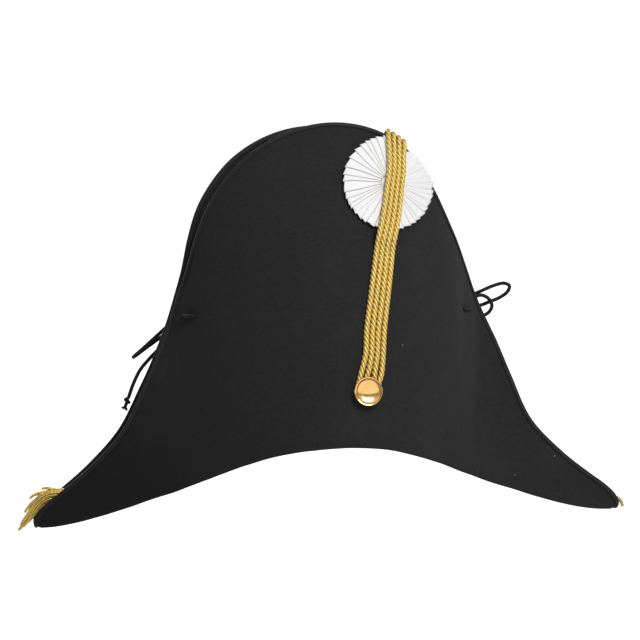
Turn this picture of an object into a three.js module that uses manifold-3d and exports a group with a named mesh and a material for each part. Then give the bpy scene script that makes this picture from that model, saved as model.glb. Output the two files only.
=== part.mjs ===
// A bicorne hat of black wool felt: one felt body with its crown and two turned-up flaps, a bound edge,
// a pleated cockade held by a doubled gold cord and a button, two lace ties and two bullion tassels.
// Millimetres, +Z up. The wearer faces -Y, so the front flap is at -Y, and the horns point along X.
// The origin is the centre of the head opening, level with the fold at its front and back.
import * as THREE from "three";
import { mergeVertices } from "three/addons/utils/BufferGeometryUtils.js";
import Module from "manifold-3d";

const wasm = await Module();
wasm.setup();

// ---------------------------------------------------------------- driving dimensions

const FELT = 2.4; // thickness of the felt
const CLEARANCE = 0.3; // gap between pieces that lie on each other

const CROWN = { halfWidth: 82, halfLength: 100, height: 116, rimDrop: 16, foldRadius: 4 };

// The brim turns up at the fold and ends at the edge. Each row is a section of the front right quarter,
// and the other quarters are its mirror images. Depth is the distance in front of the hat's middle plane.
// These rows stand every 15 degrees round the head opening, from its front to its side.
const HEAD_SECTIONS = [
  { foldX: 0, foldDepth: 106, foldZ: 1.2, edgeX: 0, edgeDepth: 62, edgeZ: 239, belly: 9 },
  { foldX: 24, foldDepth: 102, foldZ: -0.6, edgeX: 32.5, edgeDepth: 60, edgeZ: 233, belly: 9 },
  { foldX: 47, foldDepth: 91, foldZ: -5.5, edgeX: 60.5, edgeDepth: 55, edgeZ: 216, belly: 8 },
  { foldX: 67, foldDepth: 76, foldZ: -12.5, edgeX: 82.4, edgeDepth: 46, edgeZ: 187, belly: 7 },
  { foldX: 83, foldDepth: 63, foldZ: -19, edgeX: 96.7, edgeDepth: 33, edgeZ: 156, belly: 5 },
  { foldX: 95, foldDepth: 54, foldZ: -24, edgeX: 107.2, edgeDepth: 17.5, edgeZ: 126, belly: 3 },
  { foldX: 106, foldDepth: 46, foldZ: -28.4, edgeX: 117.2, edgeDepth: 9, edgeZ: 99, belly: 0 },
];
// These rows stand along a horn, from the side of the head opening to the nose.
const HORN_SECTIONS = [
  { foldX: 123, foldDepth: 35.5, foldZ: -36, edgeX: 128.7, edgeDepth: 9.5, edgeZ: 72 },
  { foldX: 144, foldDepth: 25.5, foldZ: -43.2, edgeX: 141.2, edgeDepth: 13, edgeZ: 42.5 },
  { foldX: 166, foldDepth: 17.5, foldZ: -50.8, edgeX: 157.2, edgeDepth: 15, edgeZ: 9.5 },
  { foldX: 187, foldDepth: 12, foldZ: -57, edgeX: 181.3, edgeDepth: 13, edgeZ: -16.5 },
  { foldX: 202, foldDepth: 9, foldZ: -60, edgeX: 202, edgeDepth: 10.5, edgeZ: -33.5 },
  { foldX: 211.5, foldDepth: 7, foldZ: -61, edgeX: 215, edgeDepth: 9, edgeZ: -43.4 },
  { foldX: 216, foldDepth: 5.6, foldZ: -61.4, edgeX: 222.2, edgeDepth: 7.4, edgeZ: -50.6 },
  { foldX: 219, foldDepth: 3.6, foldZ: -61.6, edgeX: 225.2, edgeDepth: 5.4, edgeZ: -56.2 },
  { foldX: 220.5, foldDepth: 0, foldZ: -61.8, edgeX: 225, edgeDepth: 0, edgeZ: -60.2 },
];
// The middle of a horn's underside below each of those sections.
const KEEL = [
  { x: 104, z: -24 },
  { x: 130, z: -35 },
  { x: 155, z: -45 },
  { x: 180, z: -53.6 },
  { x: 195, z: -58 },
  { x: 203, z: -60 },
  { x: 207.5, z: -60.6 },
  { x: 210, z: -60.8 },
  { x: 212, z: -61 },
];
const SECTIONS = [...HEAD_SECTIONS, ...HORN_SECTIONS];
const HEAD_END = HEAD_SECTIONS.length - 1; // the section at the side of the head opening
const NOSE = SECTIONS.length - 1;

// The felt isn't quite even: each height of the hat stands a little to one side.
const LEAN = [
  { z: -70, x: 0.3 },
  { z: 5, x: -0.8 },
  { z: 70, x: 1.6 },
  { z: 120, x: 0 },
  { z: 180, x: -3.6 },
  { z: 260, x: 3 },
];

// ---------------------------------------------------------------- small helpers

const vec = (x, y, z) => new THREE.Vector3(x, y, z);
const mix = (a, b, share) => a.clone().lerp(b, share);
const mirrored = (p, signX, signY) => vec(p.x * signX, p.y * signY, p.z);

// How far the hat stands to one side at a given height.
function leanAt(z) {
  const upper = LEAN.findIndex((row) => row.z > z);
  const [from, to] = LEAN.slice(upper - 1, upper + 1);
  return from.x + (to.x - from.x) * THREE.MathUtils.smoothstep(z, from.z, to.z);
}
const leaned = (p) => vec(p.x + leanAt(p.z), p.y, p.z);

// A closed curve through all four quarters of a line that is given in the front right one.
function closedLoop(quarter) {
  const inner = quarter.slice(0, -1);
  const outer = quarter.slice(1).reverse();
  return new THREE.CatmullRomCurve3(
    [
      ...inner,
      ...outer.map((p) => mirrored(p, 1, -1)),
      ...inner.map((p) => mirrored(p, -1, -1)),
      ...outer.map((p) => mirrored(p, -1, 1)),
    ],
    true,
  );
}

// A closed mesh from a list of triangles, each three points.
function fromTriangles(triangles) {
  const g = new THREE.BufferGeometry().setFromPoints(triangles.flat());
  return mergeVertices(g, 1e-3);
}

// The quads between neighbouring lines of points, as triangles; a quad that narrows to a point gives one.
function patch(lines, flip = false) {
  const triangles = [];
  const add = (a, b, c) => {
    const size = vec().crossVectors(b.clone().sub(a), c.clone().sub(a)).length();
    if (size > 1e-4) triangles.push(flip ? [a, c, b] : [a, b, c]);
  };
  for (let i = 0; i + 1 < lines.length; i++)
    for (let j = 0; j + 1 < lines[i].length; j++) {
      add(lines[i][j], lines[i + 1][j], lines[i + 1][j + 1]);
      add(lines[i][j], lines[i + 1][j + 1], lines[i][j + 1]);
    }
  return triangles;
}

// ---------------------------------------------------------------- felt body

const foldLoop = closedLoop(SECTIONS.map((s) => vec(s.foldX, -s.foldDepth, s.foldZ)));
const edgeLoop = closedLoop(SECTIONS.map((s) => vec(s.edgeX, -s.edgeDepth, s.edgeZ)));
const onLoop = (loop, section) => loop.getPoint(section / (4 * NOSE));

const rimPoint = (angle) =>
  vec(
    CROWN.halfWidth * Math.cos(angle),
    -CROWN.halfLength * Math.sin(angle),
    -CROWN.rimDrop * Math.cos(angle) ** 2,
  );
const keel = new THREE.CatmullRomCurve3([
  rimPoint(0),
  ...KEEL.map((k) => vec(k.x, 0, k.z)),
]);

const rimAngle = (section) => (Math.PI / 2) * (1 - section / HEAD_END);
const bellyAt = (section) => {
  const whole = Math.min(Math.floor(section), NOSE - 1);
  const [a, b] = [SECTIONS[whole].belly ?? 0, SECTIONS[whole + 1].belly ?? 0];
  return a + (b - a) * (section - whole);
};

// A point of the turned-up flap, from the fold at 0 to the edge at 1.
function flapPoint(section, share) {
  const p = mix(onLoop(foldLoop, section), onLoop(edgeLoop, section), share);
  p.y -= bellyAt(section) * 4 * share * (1 - share);
  return p;
}

// One section of the brim's middle surface: the floor from the head opening or keel to the fold,
// then the flap up to the edge, with both corners rounded.
const FLAP_SHARES = [0.3, 0.62, 1];
function brimLine(section) {
  const atHead = section <= HEAD_END;
  const inner = atHead
    ? rimPoint(rimAngle(section))
    : keel.getPoint((section - HEAD_END) / (NOSE - HEAD_END));
  const fold = onLoop(foldLoop, section);
  const edge = onLoop(edgeLoop, section);
  const floor = fold.clone().sub(inner);
  const radius = Math.min(CROWN.foldRadius, 0.45 * floor.length());
  const out = floor.normalize().multiplyScalar(radius);
  const floorStart = inner.clone().add(out);
  const floorEnd = fold.clone().sub(out);
  const upShare = Math.min(radius / Math.max(edge.distanceTo(fold), 1e-6), 0.1);
  const flapStart = flapPoint(section, upShare);
  const away = vec(inner.x, inner.y, 0).normalize();
  const start = atHead ? inner.clone().addScaledVector(away, radius / 4).add(vec(0, 0, radius / 4)) : inner;
  return [
    start,
    floorStart,
    floorEnd,
    flapStart,
    ...FLAP_SHARES.map((share) => flapPoint(section, share)),
  ];
}

// One meridian of the crown's middle surface, from the top of the dome down to the head opening.
const CROWN_STEPS = [90, 66, 44, 25, 9];
const DOME = { side: 0.62, top: 0.8 }; // powers that square the dome's shoulder
function crownLine(section) {
  const rim = rimPoint(rimAngle(section));
  const line = CROWN_STEPS.map((degrees) => {
    const a = THREE.MathUtils.degToRad(degrees);
    const width = Math.max(Math.cos(a), 0) ** DOME.side;
    const height = Math.sin(a) ** DOME.top;
    return degrees === 90
      ? vec(0, 0, CROWN.height)
      : vec(rim.x * width, rim.y * width, rim.z * (1 - height) + CROWN.height * height);
  });
  return [...line, brimLine(section)[0]];
}

// The sections that the felt is built on, closest where the ties pinch it and at the nose.
function steps(from, to, perSection) {
  const count = Math.round((to - from) * perSection);
  return Array.from({ length: count }, (_, i) => from + i / perSection);
}
const BEFORE_PINCH = [...steps(0, HEAD_END - 0.5, 2), HEAD_END - 0.5, HEAD_END - 0.25];
const AFTER_PINCH = [HEAD_END + 0.25, HEAD_END + 0.5, ...steps(HEAD_END + 1, HEAD_END + 2, 2)];
const HEAD_STOPS = [...BEFORE_PINCH, HEAD_END];
const BRIM_STOPS = [
  ...HEAD_STOPS,
  ...AFTER_PINCH,
  ...steps(HEAD_END + 2, NOSE - 3, 1),
  ...steps(NOSE - 3, NOSE, 2),
  NOSE,
];

// The felt's middle surface, thickened to both sides.
function thickened(surface, thickness) {
  const g = mergeVertices(surface, 1e-3);
  const p = g.attributes.position;
  const index = g.index.array;
  const at = (i) => vec().fromBufferAttribute(p, i);
  const normals = Array.from({ length: p.count }, () => vec());
  const edges = new Map();
  for (let i = 0; i < index.length; i += 3) {
    const corner = [index[i], index[i + 1], index[i + 2]];
    const points = corner.map(at);
    for (let k = 0; k < 3; k++) {
      const [a, b, c] = [points[k], points[(k + 1) % 3], points[(k + 2) % 3]];
      const [ab, ac] = [b.clone().sub(a), c.clone().sub(a)];
      const angle = ab.angleTo(ac);
      normals[corner[k]].addScaledVector(vec().crossVectors(ab, ac).normalize(), angle);
      const [from, to] = [corner[k], corner[(k + 1) % 3]];
      if (!edges.delete(`${to},${from}`)) edges.set(`${from},${to}`, [from, to]);
    }
  }
  normals.forEach((n) => n.normalize());
  const outer = (i) => at(i).addScaledVector(normals[i], thickness / 2);
  const inner = (i) => at(i).addScaledVector(normals[i], -thickness / 2);
  const triangles = [];
  for (let i = 0; i < index.length; i += 3) {
    const [a, b, c] = [index[i], index[i + 1], index[i + 2]];
    triangles.push([outer(a), outer(b), outer(c)], [inner(a), inner(c), inner(b)]);
  }
  for (const [a, b] of edges.values())
    triangles.push([outer(a), inner(a), outer(b)], [outer(b), inner(a), inner(b)]);
  return fromTriangles(triangles);
}

// The front right quarter and its three mirror images.
function fourQuarters(quarter) {
  const triangles = [];
  for (const [signX, signY] of [[1, 1], [-1, 1], [1, -1], [-1, -1]])
    for (const t of quarter) {
      const [a, b, c] = t.map((p) => leaned(mirrored(p, signX, signY)));
      triangles.push(signX * signY > 0 ? [a, b, c] : [a, c, b]);
    }
  return new THREE.BufferGeometry().setFromPoints(triangles.flat());
}

const feltSurface = () =>
  fourQuarters([...patch(HEAD_STOPS.map(crownLine)), ...patch(BRIM_STOPS.map(brimLine))]);

// ---------------------------------------------------------------- places on the front flap

// The middle surface of the front flap at a given X and Z, with its outward normal.
function frontFlap(x, z) {
  const side = x < 0 ? -1 : 1;
  const shareAt = (section) => {
    const [fold, edge] = [onLoop(foldLoop, section), onLoop(edgeLoop, section)];
    return (z - fold.z) / (edge.z - fold.z);
  };
  let [low, high] = [0, HEAD_END];
  for (let i = 0; i < 30; i++) {
    const middle = (low + high) / 2;
    if (flapPoint(middle, shareAt(middle)).x < Math.abs(x)) low = middle;
    else high = middle;
  }
  return mirrored(flapPoint(low, shareAt(low)), side, 1);
}

// A point at a height above the outside of the front flap; a negative height is a depth inside the hat.
function onFront(x, z, height) {
  const even = x - leanAt(z);
  const acrossX = frontFlap(even + 1, z).sub(frontFlap(even - 1, z));
  const acrossZ = frontFlap(even, z + 1).sub(frontFlap(even, z - 1));
  const normal = vec().crossVectors(acrossX, acrossZ).normalize();
  const p = frontFlap(even, z).addScaledVector(normal, Math.sign(height) * (FELT / 2) + height);
  return leaned(p);
}

// ---------------------------------------------------------------- solids

// A geometry as a manifold solid, to cut or join.
function solid(geometry) {
  const bare = new THREE.BufferGeometry();
  bare.setAttribute("position", geometry.getAttribute("position").clone());
  if (geometry.index) bare.setIndex(geometry.index.clone());
  const g = mergeVertices(bare, 1e-3);
  const mesh = new wasm.Mesh({
    numProp: 3,
    vertProperties: new Float32Array(g.attributes.position.array),
    triVerts: new Uint32Array(g.index.array),
  });
  return new wasm.Manifold(mesh);
}

function geometryOf(manifold) {
  const mesh = manifold.getMesh();
  const g = new THREE.BufferGeometry();
  g.setAttribute("position", new THREE.BufferAttribute(new Float32Array(mesh.vertProperties), 3));
  g.setIndex(new THREE.BufferAttribute(new Uint32Array(mesh.triVerts), 1));
  return g;
}

// A cord along a curve through the given points.
function cordAlong(points, diameter, step = 2.2, sides = 8) {
  const extrudePath = new THREE.CatmullRomCurve3(points);
  const ring = Array.from({ length: sides }, (_, i) => {
    const angle = (2 * Math.PI * i) / sides;
    return new THREE.Vector2(Math.cos(angle), Math.sin(angle)).multiplyScalar(diameter / 2);
  });
  const count = Math.ceil(extrudePath.getLength() / (step * diameter));
  return new THREE.ExtrudeGeometry(new THREE.Shape(ring), { steps: Math.min(count, 80), extrudePath });
}

// ---------------------------------------------------------------- felt body with its lace holes

// Each tie goes through both flaps at these two holes, and the other side has their mirror images.
const LACE = { diameter: 2.4, step: 3, holeX: [102.8, 109.2], holeZ: 97, holeDiameter: 4 };

function feltBody() {
  let body = solid(thickened(feltSurface(), FELT));
  for (const side of [-1, 1])
    for (const x of LACE.holeX) {
      const drill = new THREE.CylinderGeometry(LACE.holeDiameter / 2, LACE.holeDiameter / 2, 90, 8);
      drill.translate(side * x, 0, LACE.holeZ);
      body = body.subtract(solid(drill));
    }
  return geometryOf(body);
}

// ---------------------------------------------------------------- edge binding

const BINDING = { leg: 2.6, thickness: 0.5, gap: 0.6 };

// The U-shaped section of the tape that folds over the brim's edge, at one place of the first quarter.
function bindingRing(section) {
  const line = brimLine(section);
  const edge = line.at(-1);
  const up = edge.clone().sub(line.at(-2)).normalize();
  const [before, after] = [Math.max(section - 0.05, 0), Math.min(section + 0.05, NOSE)];
  const along = brimLine(after).at(-1).sub(brimLine(before).at(-1));
  if (section === 0) along.set(1, 0, 0);
  if (section === NOSE) along.set(0, 1, 0);
  const normal = vec().crossVectors(along, up).normalize();
  const inside = FELT / 2 + BINDING.gap;
  const outside = inside + BINDING.thickness;
  const top = BINDING.gap + BINDING.thickness;
  const corners = [
    [-inside, -BINDING.leg],
    [-inside, BINDING.gap],
    [inside, BINDING.gap],
    [inside, -BINDING.leg],
    [outside, -BINDING.leg],
    [outside, top],
    [-outside, top],
    [-outside, -BINDING.leg],
    [-inside, -BINDING.leg],
  ];
  return corners.map(([n, u]) => edge.clone().addScaledVector(normal, n).addScaledVector(up, u));
}

const edgeBinding = () => mergeVertices(fourQuarters(patch(BRIM_STOPS.map(bindingRing))), 1e-3);

// ---------------------------------------------------------------- button

const BUTTON = { x: 17, z: 40.8, radius: 10.8, shankRadius: 1.3, back: 5, rim: 1.4, dome: 4.2 };

// Turns a piece made about Z, with its foot at zero, to stand out of the front flap at a place.
function standOnFront(geometry, x, z) {
  const foot = onFront(x, z, 0.001);
  const outwards = onFront(x, z, 10).sub(foot).normalize();
  const turn = new THREE.Quaternion().setFromUnitVectors(vec(0, 0, 1), outwards);
  return geometry.applyQuaternion(turn).translate(foot.x, foot.y, foot.z);
}

function button() {
  const { radius, shankRadius, back, rim, dome } = BUTTON;
  const flat = (r, height) => new THREE.Vector2(r, height);
  const domeArc = [75, 60, 45, 30, 15].map((degrees) => {
    const a = THREE.MathUtils.degToRad(degrees);
    return flat(radius * 0.94 * Math.sin(a), back + rim + dome * Math.cos(a));
  });
  const profile = [
    flat(0, CLEARANCE),
    flat(shankRadius, CLEARANCE),
    flat(shankRadius, back),
    flat(radius - 0.6, back),
    flat(radius, back + 0.5),
    flat(radius, back + rim),
    ...domeArc,
    flat(0, back + rim + dome),
  ];
  return standOnFront(new THREE.LatheGeometry(profile, 18).rotateX(Math.PI / 2), BUTTON.x, BUTTON.z);
}

// ---------------------------------------------------------------- cockade

const COCKADE = { x: 41, z: 193.4, radius: 35.4, pleats: 34, base: 1.2, pleatRise: 1.4, seat: 1.5 };
// How far the cockade's rim may stand over the flap's edge, beside the cords and under them.
const OVERHANG = { beside: 1.2, underCords: -3.2, cordsX: 48.5, from: 8, to: 14 };

// The height of the front flap's edge at a given X.
function edgeZ(x) {
  let [low, high] = [0, HEAD_END];
  for (let i = 0; i < 30; i++) {
    const middle = (low + high) / 2;
    if (leaned(onLoop(edgeLoop, middle)).x < x) low = middle;
    else high = middle;
  }
  return onLoop(edgeLoop, low).z;
}

// How far the cockade reaches at an angle: its radius, or less where it would stand over the edge.
function cockadeReach(angle) {
  const { x, z, radius } = COCKADE;
  const { beside, underCords, cordsX, from, to } = OVERHANG;
  const over = (reach) => {
    const at = x + reach * Math.cos(angle);
    const share = THREE.MathUtils.smoothstep(Math.abs(at - cordsX), from, to);
    return z + reach * Math.sin(angle) - edgeZ(at) - underCords - (beside - underCords) * share;
  };
  if (Math.sin(angle) <= 0 || over(radius) <= 0) return radius;
  let [low, high] = [0, radius];
  for (let i = 0; i < 20; i++) {
    const middle = (low + high) / 2;
    if (over(middle) < 0) low = middle;
    else high = middle;
  }
  return low;
}

// A disc of pleats that follows the flap: its upper side rises and falls, and its rim is scalloped.
function cockade() {
  const { x, z, pleats, base, pleatRise, seat } = COCKADE;
  const shares = [0.08, 0.55, 1];
  const at = (share, k, height) => {
    const angle = (Math.PI * k) / pleats;
    const reach = cockadeReach(angle) * share * (k % 2 ? 0.965 : 1);
    return onFront(x + reach * Math.cos(angle), z + reach * Math.sin(angle), seat + height);
  };
  const spokes = Array.from({ length: 2 * pleats + 1 }, (_, i) => {
    const k = i % (2 * pleats);
    const rise = k % 2 ? 0 : pleatRise;
    const top = shares.map((share) => at(share, k, base + rise * share ** 0.5));
    const bottom = [1, 0.75, 0.4].map((share) => at(share, k, 0));
    return [onFront(x, z, seat + base), ...top, ...bottom, onFront(x, z, seat)];
  });
  return fromTriangles(patch(spokes, true));
}

// ---------------------------------------------------------------- gold cord

// Two doubled cords, one inside the other, whose four strands lie side by side. The rows follow the
// middle of the band from the button up to the edge; pitch is the distance between strands.
const GOLD = {
  diameter: 3.2,
  step: 2.6, // between the rings of the solid, in diameters
  tilt: 0.13, // of the row of strands, in radians
  crestX: 48.5, // where the middle of the band goes over the flap's edge
  crestPitch: 3.8,
  slack: 0.7,
  sewnDepth: 20,
};
const BAND = [
  { x: 20.1, z: 54.5, pitch: 4.9, over: "felt" },
  { x: 23, z: 67, pitch: 4.3, over: "felt" },
  { x: 25, z: 85, pitch: 4.3, over: "felt" },
  { x: 28.5, z: 107, pitch: 4.2, over: "felt" },
  { x: 32.2, z: 129, pitch: 4.1, over: "felt" },
  { x: 34.8, z: 144.5, pitch: 4, over: "felt" },
  { x: 35.4, z: 153, pitch: 3.9, over: "rim" },
  { x: 38.1, z: 164, pitch: 3.8, over: "cockade" },
  { x: 40.8, z: 177, pitch: 3.7, over: "cockade" },
  { x: 43, z: 190, pitch: 3.6, over: "cockade" },
  { x: 45, z: 201, pitch: 3.5, over: "cockade" },
  { x: 46.1, z: 215, pitch: 3.6, over: "cockade" },
];
const COCKADE_TOP = COCKADE.seat + COCKADE.base + COCKADE.pleatRise;
// Half the width and the height of each doubled cord's turn round the button's shank.
const TURN = { inner: 4.6, outer: 8.7, flatness: 0.87 };

// The points of one strand, from the button up over the flap's edge and down to where it is sewn inside.
function strand(offset) {
  const radius = GOLD.diameter / 2;
  const tape = BINDING.gap + BINDING.thickness;
  const onCockade = COCKADE_TOP + CLEARANCE + radius + 0.1;
  const seat = { felt: CLEARANCE + radius, rim: onCockade - 0.4, cockade: onCockade };
  const places = BAND.map(({ x, z, pitch, over }) => {
    const aside = offset * pitch;
    return onFront(x + Math.cos(GOLD.tilt) * aside, z - Math.sin(GOLD.tilt) * aside, seat[over]);
  });
  const x = GOLD.crestX + offset * GOLD.crestPitch;
  const edge = edgeZ(x) + tape;
  const crest = edge + CLEARANCE + radius + GOLD.slack;
  return [
    ...places,
    onFront(x - 2, edge - 4, seat.cockade),
    onFront(x - 1.5, crest - 2, seat.cockade - 1.2),
    onFront(x, crest, 1.2),
    onFront(x + 1.8, crest - 1.3, -3.2),
    onFront(x + 3.4, edge - 5, -seat.felt - tape - 0.6),
    onFront(x + 4, edge - GOLD.sewnDepth, -seat.felt - 0.4),
  ];
}

// A doubled cord: down one strand, round the button's shank and up the other.
function doubledCord(offset, width) {
  const round = [150, 180, 225, 270, 315, 360, 390].map((degrees) => {
    const a = THREE.MathUtils.degToRad(degrees);
    const up = width * TURN.flatness * Math.sin(a);
    return onFront(BUTTON.x + width * Math.cos(a), BUTTON.z + up, CLEARANCE + GOLD.diameter / 2);
  });
  return cordAlong([...strand(-offset).reverse(), ...round, ...strand(offset)], GOLD.diameter, GOLD.step);
}

// ---------------------------------------------------------------- tassels in the horns

// A bundle of twisted strips that lies in the trough of a horn. The places run from its head to its tips,
// and trims say how much of its length each strip falls short of the last place.
const BULLION = { strip: 2.8, headRadius: 3.6, atHead: 0.5, atTips: 1.2, points: 10 };
const LEFT_TASSEL = [
  { x: -180, z: -48.1 },
  { x: -192, z: -42 },
  { x: -203, z: -37.2 },
  { x: -213.5, z: -37.5 },
  { x: -221, z: -41.2 },
  { x: -225.6, z: -46.4 },
  { x: -229.2, z: -52.6 },
  { x: -233, z: -58 },
  { x: -237, z: -64 },
];
const LEFT_TRIMS = [0.12, 0.05, 0, 0.03];
const RIGHT_TASSEL = [
  { x: 178, z: -47.9 },
  { x: 190, z: -48 },
  { x: 202, z: -50 },
  { x: 212, z: -52 },
  { x: 220, z: -53.8 },
  { x: 225.6, z: -54.4 },
  { x: 229, z: -57 },
  { x: 230.4, z: -61 },
];
const RIGHT_TRIMS = [0.3, 0.26, 0, 0.34];
const STRIPS = [
  { y: 1.2, up: 2.4 },
  { y: -1.5, up: 1.1 },
  { y: 0.3, up: 0 },
  { y: -0.7, up: -1.2 },
];

function tassel(rows, trims) {
  const middle = rows.map(({ x, z }) => vec(x, 0, z));
  const path = new THREE.CatmullRomCurve3(middle);
  const head = new THREE.SphereGeometry(BULLION.headRadius, 8, 6).scale(1.2, 0.9, 1);
  let bundle = solid(head.translate(middle[0].x, 0, middle[0].z));
  STRIPS.forEach(({ y, up }, strip) => {
    const points = Array.from({ length: BULLION.points }, (_, i) => {
      const along = i / (BULLION.points - 1);
      const fan = BULLION.atHead + (BULLION.atTips - BULLION.atHead) * along ** 0.6;
      const share = along * (1 - trims[strip]);
      const tangent = path.getTangentAt(share);
      const lift = vec(0, 0, 1).addScaledVector(tangent, -tangent.z).normalize();
      return path.getPointAt(share).addScaledVector(lift, up * fan).add(vec(0, y * Math.min(fan, 1), 0));
    });
    bundle = bundle.add(solid(cordAlong(points, BULLION.strip, 3.8, 6)));
  });
  return geometryOf(bundle);
}

// ---------------------------------------------------------------- lace ties

// Each tie is laced through both flaps and knotted behind the back flap. Its routes are chosen by hand.
const KNOT = { x: 111.2, y: 25, z: 97, radius: 3.2 };
const STITCH = [
  [107.6, 30.5, 97], [104.2, 33, 97], [102.8, 30, 97], [102.8, 10, 97], [102.8, -10, 97], [102.8, -29, 97],
  [103.8, -33.1, 97], [106.2, -30.7, 97], [108.2, -26.8, 97], [110, -23, 97], [109.2, -18.5, 97],
  [109.2, 0, 97], [109.2, 14, 97], [109.6, 21.2, 97],
];
const RIGHT_LOOP_A = [
  [113.4, 24.6, 100.1], [118, 25, 104.5], [127, 23.6, 108.6], [136, 22.4, 112.3], [144, 21.8, 114],
  [148.6, 22.8, 111.9], [147.6, 25.2, 107.4], [142, 27, 103], [134, 27.5, 99.8], [125, 26.8, 96.8],
  [115.2, 26, 95.9],
];
const RIGHT_LOOP_B = [
  [114.6, 22.9, 98.1], [118, 21.4, 102.3], [126, 20.8, 105.2], [132, 21, 102], [134.3, 21.5, 96.5],
  [131.5, 22.5, 91.3], [125, 23.5, 88.6], [117, 24.3, 90], [113.2, 24.9, 93.7],
];
const RIGHT_TAIL = [
  [110.8, 27.8, 94.2], [109.5, 31, 86], [107.5, 34, 73], [106, 38.3, 60], [105, 42.2, 47],
];
const LEFT_LOOP = [
  [-113.6, 22.9, 94.4], [-117.5, 19.5, 89.5], [-123.5, 17, 84.2], [-131, 16, 77.8], [-139, 16.5, 70.8],
  [-144.5, 18.5, 66], [-146, 21.5, 64.2], [-143.6, 24.3, 65.4], [-137, 25.5, 70], [-129.5, 25.8, 75.2],
  [-122, 26, 80.5], [-116.6, 26, 86.8], [-113.4, 26.2, 93.7],
];
const LEFT_TAIL_A = [
  [-112.2, 28.2, 95], [-113.2, 29.4, 88], [-118, 28.4, 79.5], [-125.3, 23.5, 71], [-134, 20.5, 62.5],
  [-141, 19.8, 54.5], [-146.5, 20, 44], [-150.4, 20.5, 33.6],
];
const LEFT_TAIL_B = [
  [-108.6, 27.4, 95.2], [-106.8, 33, 86], [-105.5, 36, 73], [-104, 39.3, 60], [-102.8, 43.9, 48],
];

const ropes = (rows) => rows.map(([x, y, z]) => vec(x, y, z));
const lace = (rows) => cordAlong(ropes(rows), LACE.diameter, LACE.step);

function bowKnot(side) {
  const knot = new THREE.SphereGeometry(KNOT.radius, 8, 6);
  return knot.translate(side * KNOT.x, KNOT.y, KNOT.z);
}

// The overhand knot at the end of a tail, with the cord's short stub below it.
function endKnot(rows) {
  const [end, before] = ropes(rows.slice(-2)).reverse();
  const down = end.clone().sub(before).normalize();
  const knot = new THREE.SphereGeometry(2.9, 8, 6);
  const middle = end.clone().addScaledVector(down, 3.2);
  const stub = cordAlong([middle, end.clone().addScaledVector(down, 8.5)], LACE.diameter);
  return geometryOf(solid(knot.translate(middle.x, middle.y, middle.z)).add(solid(stub)));
}

// ---------------------------------------------------------------- the hat

const hat = new THREE.Group();
function add(name, geometry, { color, roughness, metalness = 0 }) {
  const mesh = new THREE.Mesh(geometry, new THREE.MeshStandardMaterial({ color, roughness, metalness }));
  mesh.name = name;
  hat.add(mesh);
}

const BLACK_FELT = { color: 0x1b1b1c, roughness: 0.95 };
const BLACK_TAPE = { color: 0x262627, roughness: 0.8 };
const WHITE_RIBBON = { color: 0xf2f2f0, roughness: 0.7 };
const GOLD_THREAD = { color: 0xc9a84a, roughness: 0.45, metalness: 0.4 };
const BLACK_LACE = { color: 0x202021, roughness: 0.7 };
const BRASS = { color: 0xc8a45c, roughness: 0.22, metalness: 1 };

add("felt_body", feltBody(), BLACK_FELT);
add("edge_binding", edgeBinding(), BLACK_TAPE);
add("cockade", cockade(), WHITE_RIBBON);
add("button", button(), BRASS);
add("loop_cord_inner", doubledCord(0.5, TURN.inner), GOLD_THREAD);
add("loop_cord_outer", doubledCord(1.5, TURN.outer), GOLD_THREAD);
add("tassel_left", tassel(LEFT_TASSEL, LEFT_TRIMS), GOLD_THREAD);
add("tassel_right", tassel(RIGHT_TASSEL, RIGHT_TRIMS), GOLD_THREAD);
for (const [name, side] of [["right", 1], ["left", -1]]) {
  add(`tie_${name}_stitch`, lace(STITCH.map(([x, y, z]) => [side * x, y, z])), BLACK_LACE);
  add(`tie_${name}_knot`, bowKnot(side), BLACK_LACE);
}
add("tie_right_loop_a", lace(RIGHT_LOOP_A), BLACK_LACE);
add("tie_right_loop_b", lace(RIGHT_LOOP_B), BLACK_LACE);
add("tie_right_tail", lace(RIGHT_TAIL), BLACK_LACE);
add("tie_left_loop", lace(LEFT_LOOP), BLACK_LACE);
add("tie_left_tail_a", lace(LEFT_TAIL_A), BLACK_LACE);
add("tie_left_tail_b", lace(LEFT_TAIL_B), BLACK_LACE);
add("tie_right_end_knot", endKnot(RIGHT_TAIL), BLACK_LACE);
add("tie_left_end_knot_a", endKnot(LEFT_TAIL_A), BLACK_LACE);
add("tie_left_end_knot_b", endKnot(LEFT_TAIL_B), BLACK_LACE);

export default hat;
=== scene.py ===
"""A bicorne hat of black wool felt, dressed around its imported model.

Sizes in the tables are millimetres in the model's own frame, and MM turns them into metres.
The wearer faces -Y, so the front flap is at -Y, and the horns point along X.
"""

import math

import bpy
import numpy as np
from mathutils import Matrix, Quaternion, Vector, kdtree, noise


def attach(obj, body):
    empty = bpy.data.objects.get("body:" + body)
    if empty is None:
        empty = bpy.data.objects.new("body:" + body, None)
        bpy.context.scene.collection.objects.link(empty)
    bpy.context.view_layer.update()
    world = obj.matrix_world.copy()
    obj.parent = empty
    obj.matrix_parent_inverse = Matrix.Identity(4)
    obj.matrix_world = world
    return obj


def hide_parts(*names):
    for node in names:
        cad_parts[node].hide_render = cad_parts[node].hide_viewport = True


MM = 0.001
GOLDEN_ANGLE = 2.399  # radians

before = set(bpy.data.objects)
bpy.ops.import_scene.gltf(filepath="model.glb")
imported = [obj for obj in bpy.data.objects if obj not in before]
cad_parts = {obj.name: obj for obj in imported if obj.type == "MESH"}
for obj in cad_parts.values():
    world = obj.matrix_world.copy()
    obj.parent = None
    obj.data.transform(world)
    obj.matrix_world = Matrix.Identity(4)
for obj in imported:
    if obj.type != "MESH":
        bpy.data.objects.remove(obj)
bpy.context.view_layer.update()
bpy.ops.object.select_all(action="DESELECT")


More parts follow.
